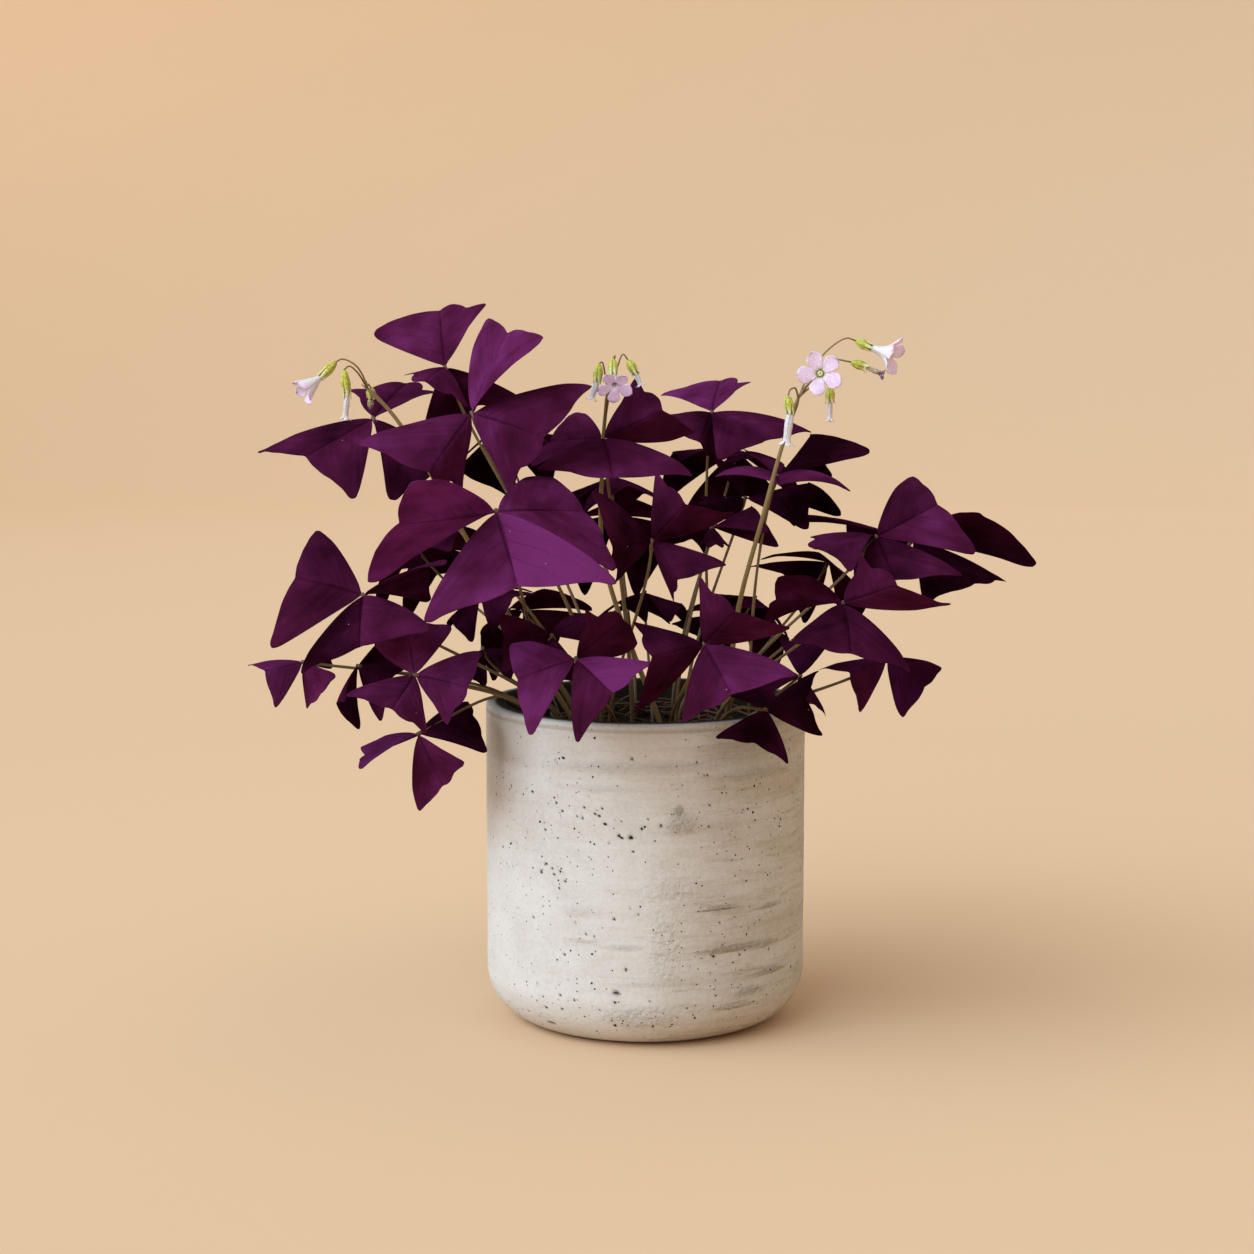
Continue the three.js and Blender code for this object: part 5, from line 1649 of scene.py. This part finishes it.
def stage_sweep(material, settings):
    """A floor that curves up into a round wall, painted to look as light all round."""
    profile = arc(STAGE_FLOOR, STAGE_CORNER, STAGE_CORNER, -90, 0, CORNER_RINGS)
    curve = np.linspace(0, math.pi / 2, len(profile))
    slopes = np.array([*[0] * FLOOR_RINGS, *curve, math.pi / 2])[:, None]
    profile = [[r, 0] for r in np.linspace(0, STAGE_FLOOR, FLOOR_RINGS + 2)[1:-1]] + profile
    profile.append([STAGE_FLOOR + STAGE_CORNER, STAGE_WALL])
    turns = np.linspace(0, 2 * math.pi, STAGE_COLUMNS, endpoint=False)
    points = [[r * math.cos(a), r * math.sin(a), z] for r, z in profile for a in turns]
    faces = ring_faces(len(profile), STAGE_COLUMNS, closed=False)
    floor_light = light_on(0, 0, settings)
    far = np.clip([[r / WALL_GLOW_FROM] for r, _ in profile], 0, 1)
    glow = FLOOR_GLOW * (1 - np.cos(slopes)) + WALL_GLOW * far * np.cos(slopes)
    glow = glow * (1 + GLOW_TO_THE_RIGHT * np.cos(turns)) * floor_light
    light = light_on(slopes, turns, settings) + glow
    dark, pale = PAINT_SHADES
    tones = np.clip((floor_light / light - dark) / (pale - dark), 0, 1).ravel()
    draft = Draft()
    draft.add(np.vstack([points, [[0, 0, 0]]]), faces, tone=np.append(tones, tones[0]))
    draft.make("studio_sweep", [material])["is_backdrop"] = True


def daylight(settings):
    """Broad cool light from the left and the front, and a warm even light from all round."""
    for name, (azimuth, share) in WINDOWS.items():
        data = bpy.data.lights.new(name, "SUN")
        data.energy = settings.key_strength * share
        data.color = settings.key_colour
        data.angle = math.radians(KEY_SPREAD)
        lamp = bpy.data.objects.new(name, data)
        bpy.context.scene.collection.objects.link(lamp)
        lamp.rotation_euler = (math.radians(90 - KEY_HEIGHT), 0, -math.radians(azimuth))
    world = bpy.data.worlds.new("warm_room")
    world.use_nodes = True
    sky = world.node_tree.nodes["Background"]
    sky.inputs["Color"].default_value = (*settings.room, 1)
    sky.inputs["Strength"].default_value = settings.room_strength
    bpy.context.scene.world = world


def camera():
    data = bpy.data.cameras.new("front_camera")
    data.sensor_width = SENSOR_MM
    data.lens = SENSOR_MM * FOCAL_LENGTH / (2 * DRAWING_CENTRE)
    data.clip_end = 20
    seat = bpy.data.objects.new("front_camera", data)
    bpy.context.scene.collection.objects.link(seat)
    seat.location = Vector(EYE) * MM
    seat.rotation_euler = (math.pi / 2 - EYE_PITCH, 0, 0)
    bpy.context.scene.camera = seat


# ---- operators ----
FIRST_STALK_SEED = 60
FIRST_FLOWER_SEED = 80


class SHAMROCK_OT_stage(bpy.types.Operator):
    """Floor, wall, soft daylight and the camera"""
    bl_idname = "shamrock.stage"
    bl_label = "Stage"

    def execute(self, context):
        settings = context.scene.shamrock_stage
        stage_sweep(surface("matt_studio_paint", studio_paint, settings), settings)
        daylight(settings)
        context.scene.view_settings.view_transform = "Standard"
        camera()
        return {"FINISHED"}


class SHAMROCK_OT_pot(bpy.types.Operator):
    """The cast concrete pot"""
    bl_idname = "shamrock.pot"
    bl_label = "Concrete pot"

    def execute(self, context):
        pot_piece(surface("cast_concrete", cast_concrete, context.scene.shamrock_pot))
        return {"FINISHED"}


class SHAMROCK_OT_soil(bpy.types.Operator):
    """The soil, with the dry stalks that lie on it"""
    bl_idname = "shamrock.soil"
    bl_label = "Potting soil"

    def execute(self, context):
        dry = surface("dry_stalk_skin", stalk_skin, linear("#5A3F26"), linear("#281A10"))
        soil_piece([surface("peat_potting_soil", damp_soil, context.scene.shamrock_pot), dry])
        return {"FINISHED"}


class SHAMROCK_OT_leaves(bpy.types.Operator):
    """Every leaf: three folded blades on a stalk"""
    bl_idname = "shamrock.leaves"
    bl_label = "Leaves"

    def execute(self, context):
        settings = context.scene.shamrock_leaf
        materials = [
            surface(
                "oxalis_leaf_upper_face", leaf_face, settings.blade_deep, settings.blade,
                settings.blade_light, settings.vein, True,
            ),
            surface(
                "oxalis_leaf_lower_face", leaf_face, settings.under_deep, settings.under,
                settings.under_light, settings.vein, False,
            ),
            surface("oxalis_stalk_skin", stalk_skin, settings.stalk, settings.stalk_red),
        ]
        forms = [(name, leaf, drawn_leaf(leaf)) for name, leaf in LEAVES.items()]
        forms += [(name, leaf, back_leaf(leaf)) for name, leaf in BACK_LEAVES.items()]
        for seed, (name, leaf, form) in enumerate(forms):
            leaf_piece(name + "_leaf", form, leaf, seed, materials)
        return {"FINISHED"}


class SHAMROCK_OT_flower_stems(bpy.types.Operator):
    """The three flower stalks with their pedicels and calyxes"""
    bl_idname = "shamrock.flower_stems"
    bl_label = "Flower stems"

    def execute(self, context):
        settings = context.scene.shamrock_flower
        materials = [
            surface("oxalis_scape_skin", stalk_skin, settings.scape, linear("#7A5C38")),
            surface("oxalis_sepal", mottled_green, settings),
        ]
        for seed, (name, stalk) in enumerate(FLOWER_STALKS.items(), FIRST_STALK_SEED):
            flower_stem_piece(name, stalk, materials, seed)
        return {"FINISHED"}


class SHAMROCK_OT_flowers(bpy.types.Operator):
    """The corollas: open, furled, in bud and withered"""
    bl_idname = "shamrock.flowers"
    bl_label = "Flowers"

    def execute(self, context):
        settings = context.scene.shamrock_flower
        petal, tube_colour = settings.petal, settings.petal_tube
        fresh = [
            surface("oxalis_petal_inside", petal_skin, petal, tube_colour, 0.4, settings.eye),
            surface("oxalis_petal_outside", petal_skin, petal, tube_colour, 0.62),
            surface("oxalis_stamens", mottled_green, settings),
        ]
        skins = {"open": fresh, "trumpet": fresh}
        for skin, name, *looks in (
            ("funnel", "oxalis_petal_funnel", petal, tube_colour, 0.5),
            ("furled", "oxalis_petal_furled", linear("#EDE2EE"), tube_colour, 0.8),
            # The pale skin is partly painted light: a lighter copy of the petal for a flower in
            # shade.
            ("pale", "oxalis_petal_pale", linear("#E2C6FF"), linear("#F4EAFF"), 0.36),
            ("withered", "oxalis_petal_withered", settings.withered, linear("#C9B89A"), 0.3),
            ("bud", "oxalis_bud_skin", linear("#8C6A48"), linear("#8A8A3C"), 0.15),
        ):
            skins[skin] = [surface(name, petal_skin, *looks)] * 2
        for seed, (name, flower) in enumerate(FLOWERS.items(), FIRST_FLOWER_SEED):
            corolla_piece(name, flower, skins[flower.get("skin", flower["form"])], seed)
        return {"FINISHED"}


STEPS = (
    SHAMROCK_OT_stage, SHAMROCK_OT_pot, SHAMROCK_OT_soil, SHAMROCK_OT_leaves,
    SHAMROCK_OT_flower_stems, SHAMROCK_OT_flowers,
)
SETTINGS = {
    "shamrock_leaf": LeafSettings, "shamrock_flower": FlowerSettings,
    "shamrock_pot": PotSettings, "shamrock_stage": StageSettings,
}


class SHAMROCK_PT_panel(bpy.types.Panel):
    """Sizes, colours and building steps of the plant"""
    bl_idname = "SHAMROCK_PT_panel"
    bl_label = "Potted purple shamrock"
    bl_space_type = "VIEW_3D"
    bl_region_type = "UI"
    bl_category = "Shamrock"

    def draw(self, context):
        for step in STEPS:
            self.layout.operator(step.bl_idname)
        for attribute, kind in SETTINGS.items():
            box = self.layout.box()
            for name in kind.__annotations__:
                box.prop(getattr(context.scene, attribute), name)


def register():
    for kind in (*SETTINGS.values(), *STEPS, SHAMROCK_PT_panel):
        bpy.utils.register_class(kind)
    for attribute, kind in SETTINGS.items():
        setattr(bpy.types.Scene, attribute, PointerProperty(type=kind))


def unregister():
    for attribute in SETTINGS:
        delattr(bpy.types.Scene, attribute)
    for kind in (SHAMROCK_PT_panel, *reversed(STEPS), *SETTINGS.values()):
        bpy.utils.unregister_class(kind)


def corners(box):
    return [[round(value, 5) for value in corner] for corner in box]


def main():
    register()
    bpy.ops.shamrock.stage()
    bpy.ops.shamrock.pot()
    bpy.ops.shamrock.soil()
    bpy.ops.shamrock.leaves()
    bpy.ops.shamrock.flower_stems()
    bpy.ops.shamrock.flowers()
    {"cad": corners(CAD_BOX), "visual": corners(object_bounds())}


if __name__ == "__main__":
    main()
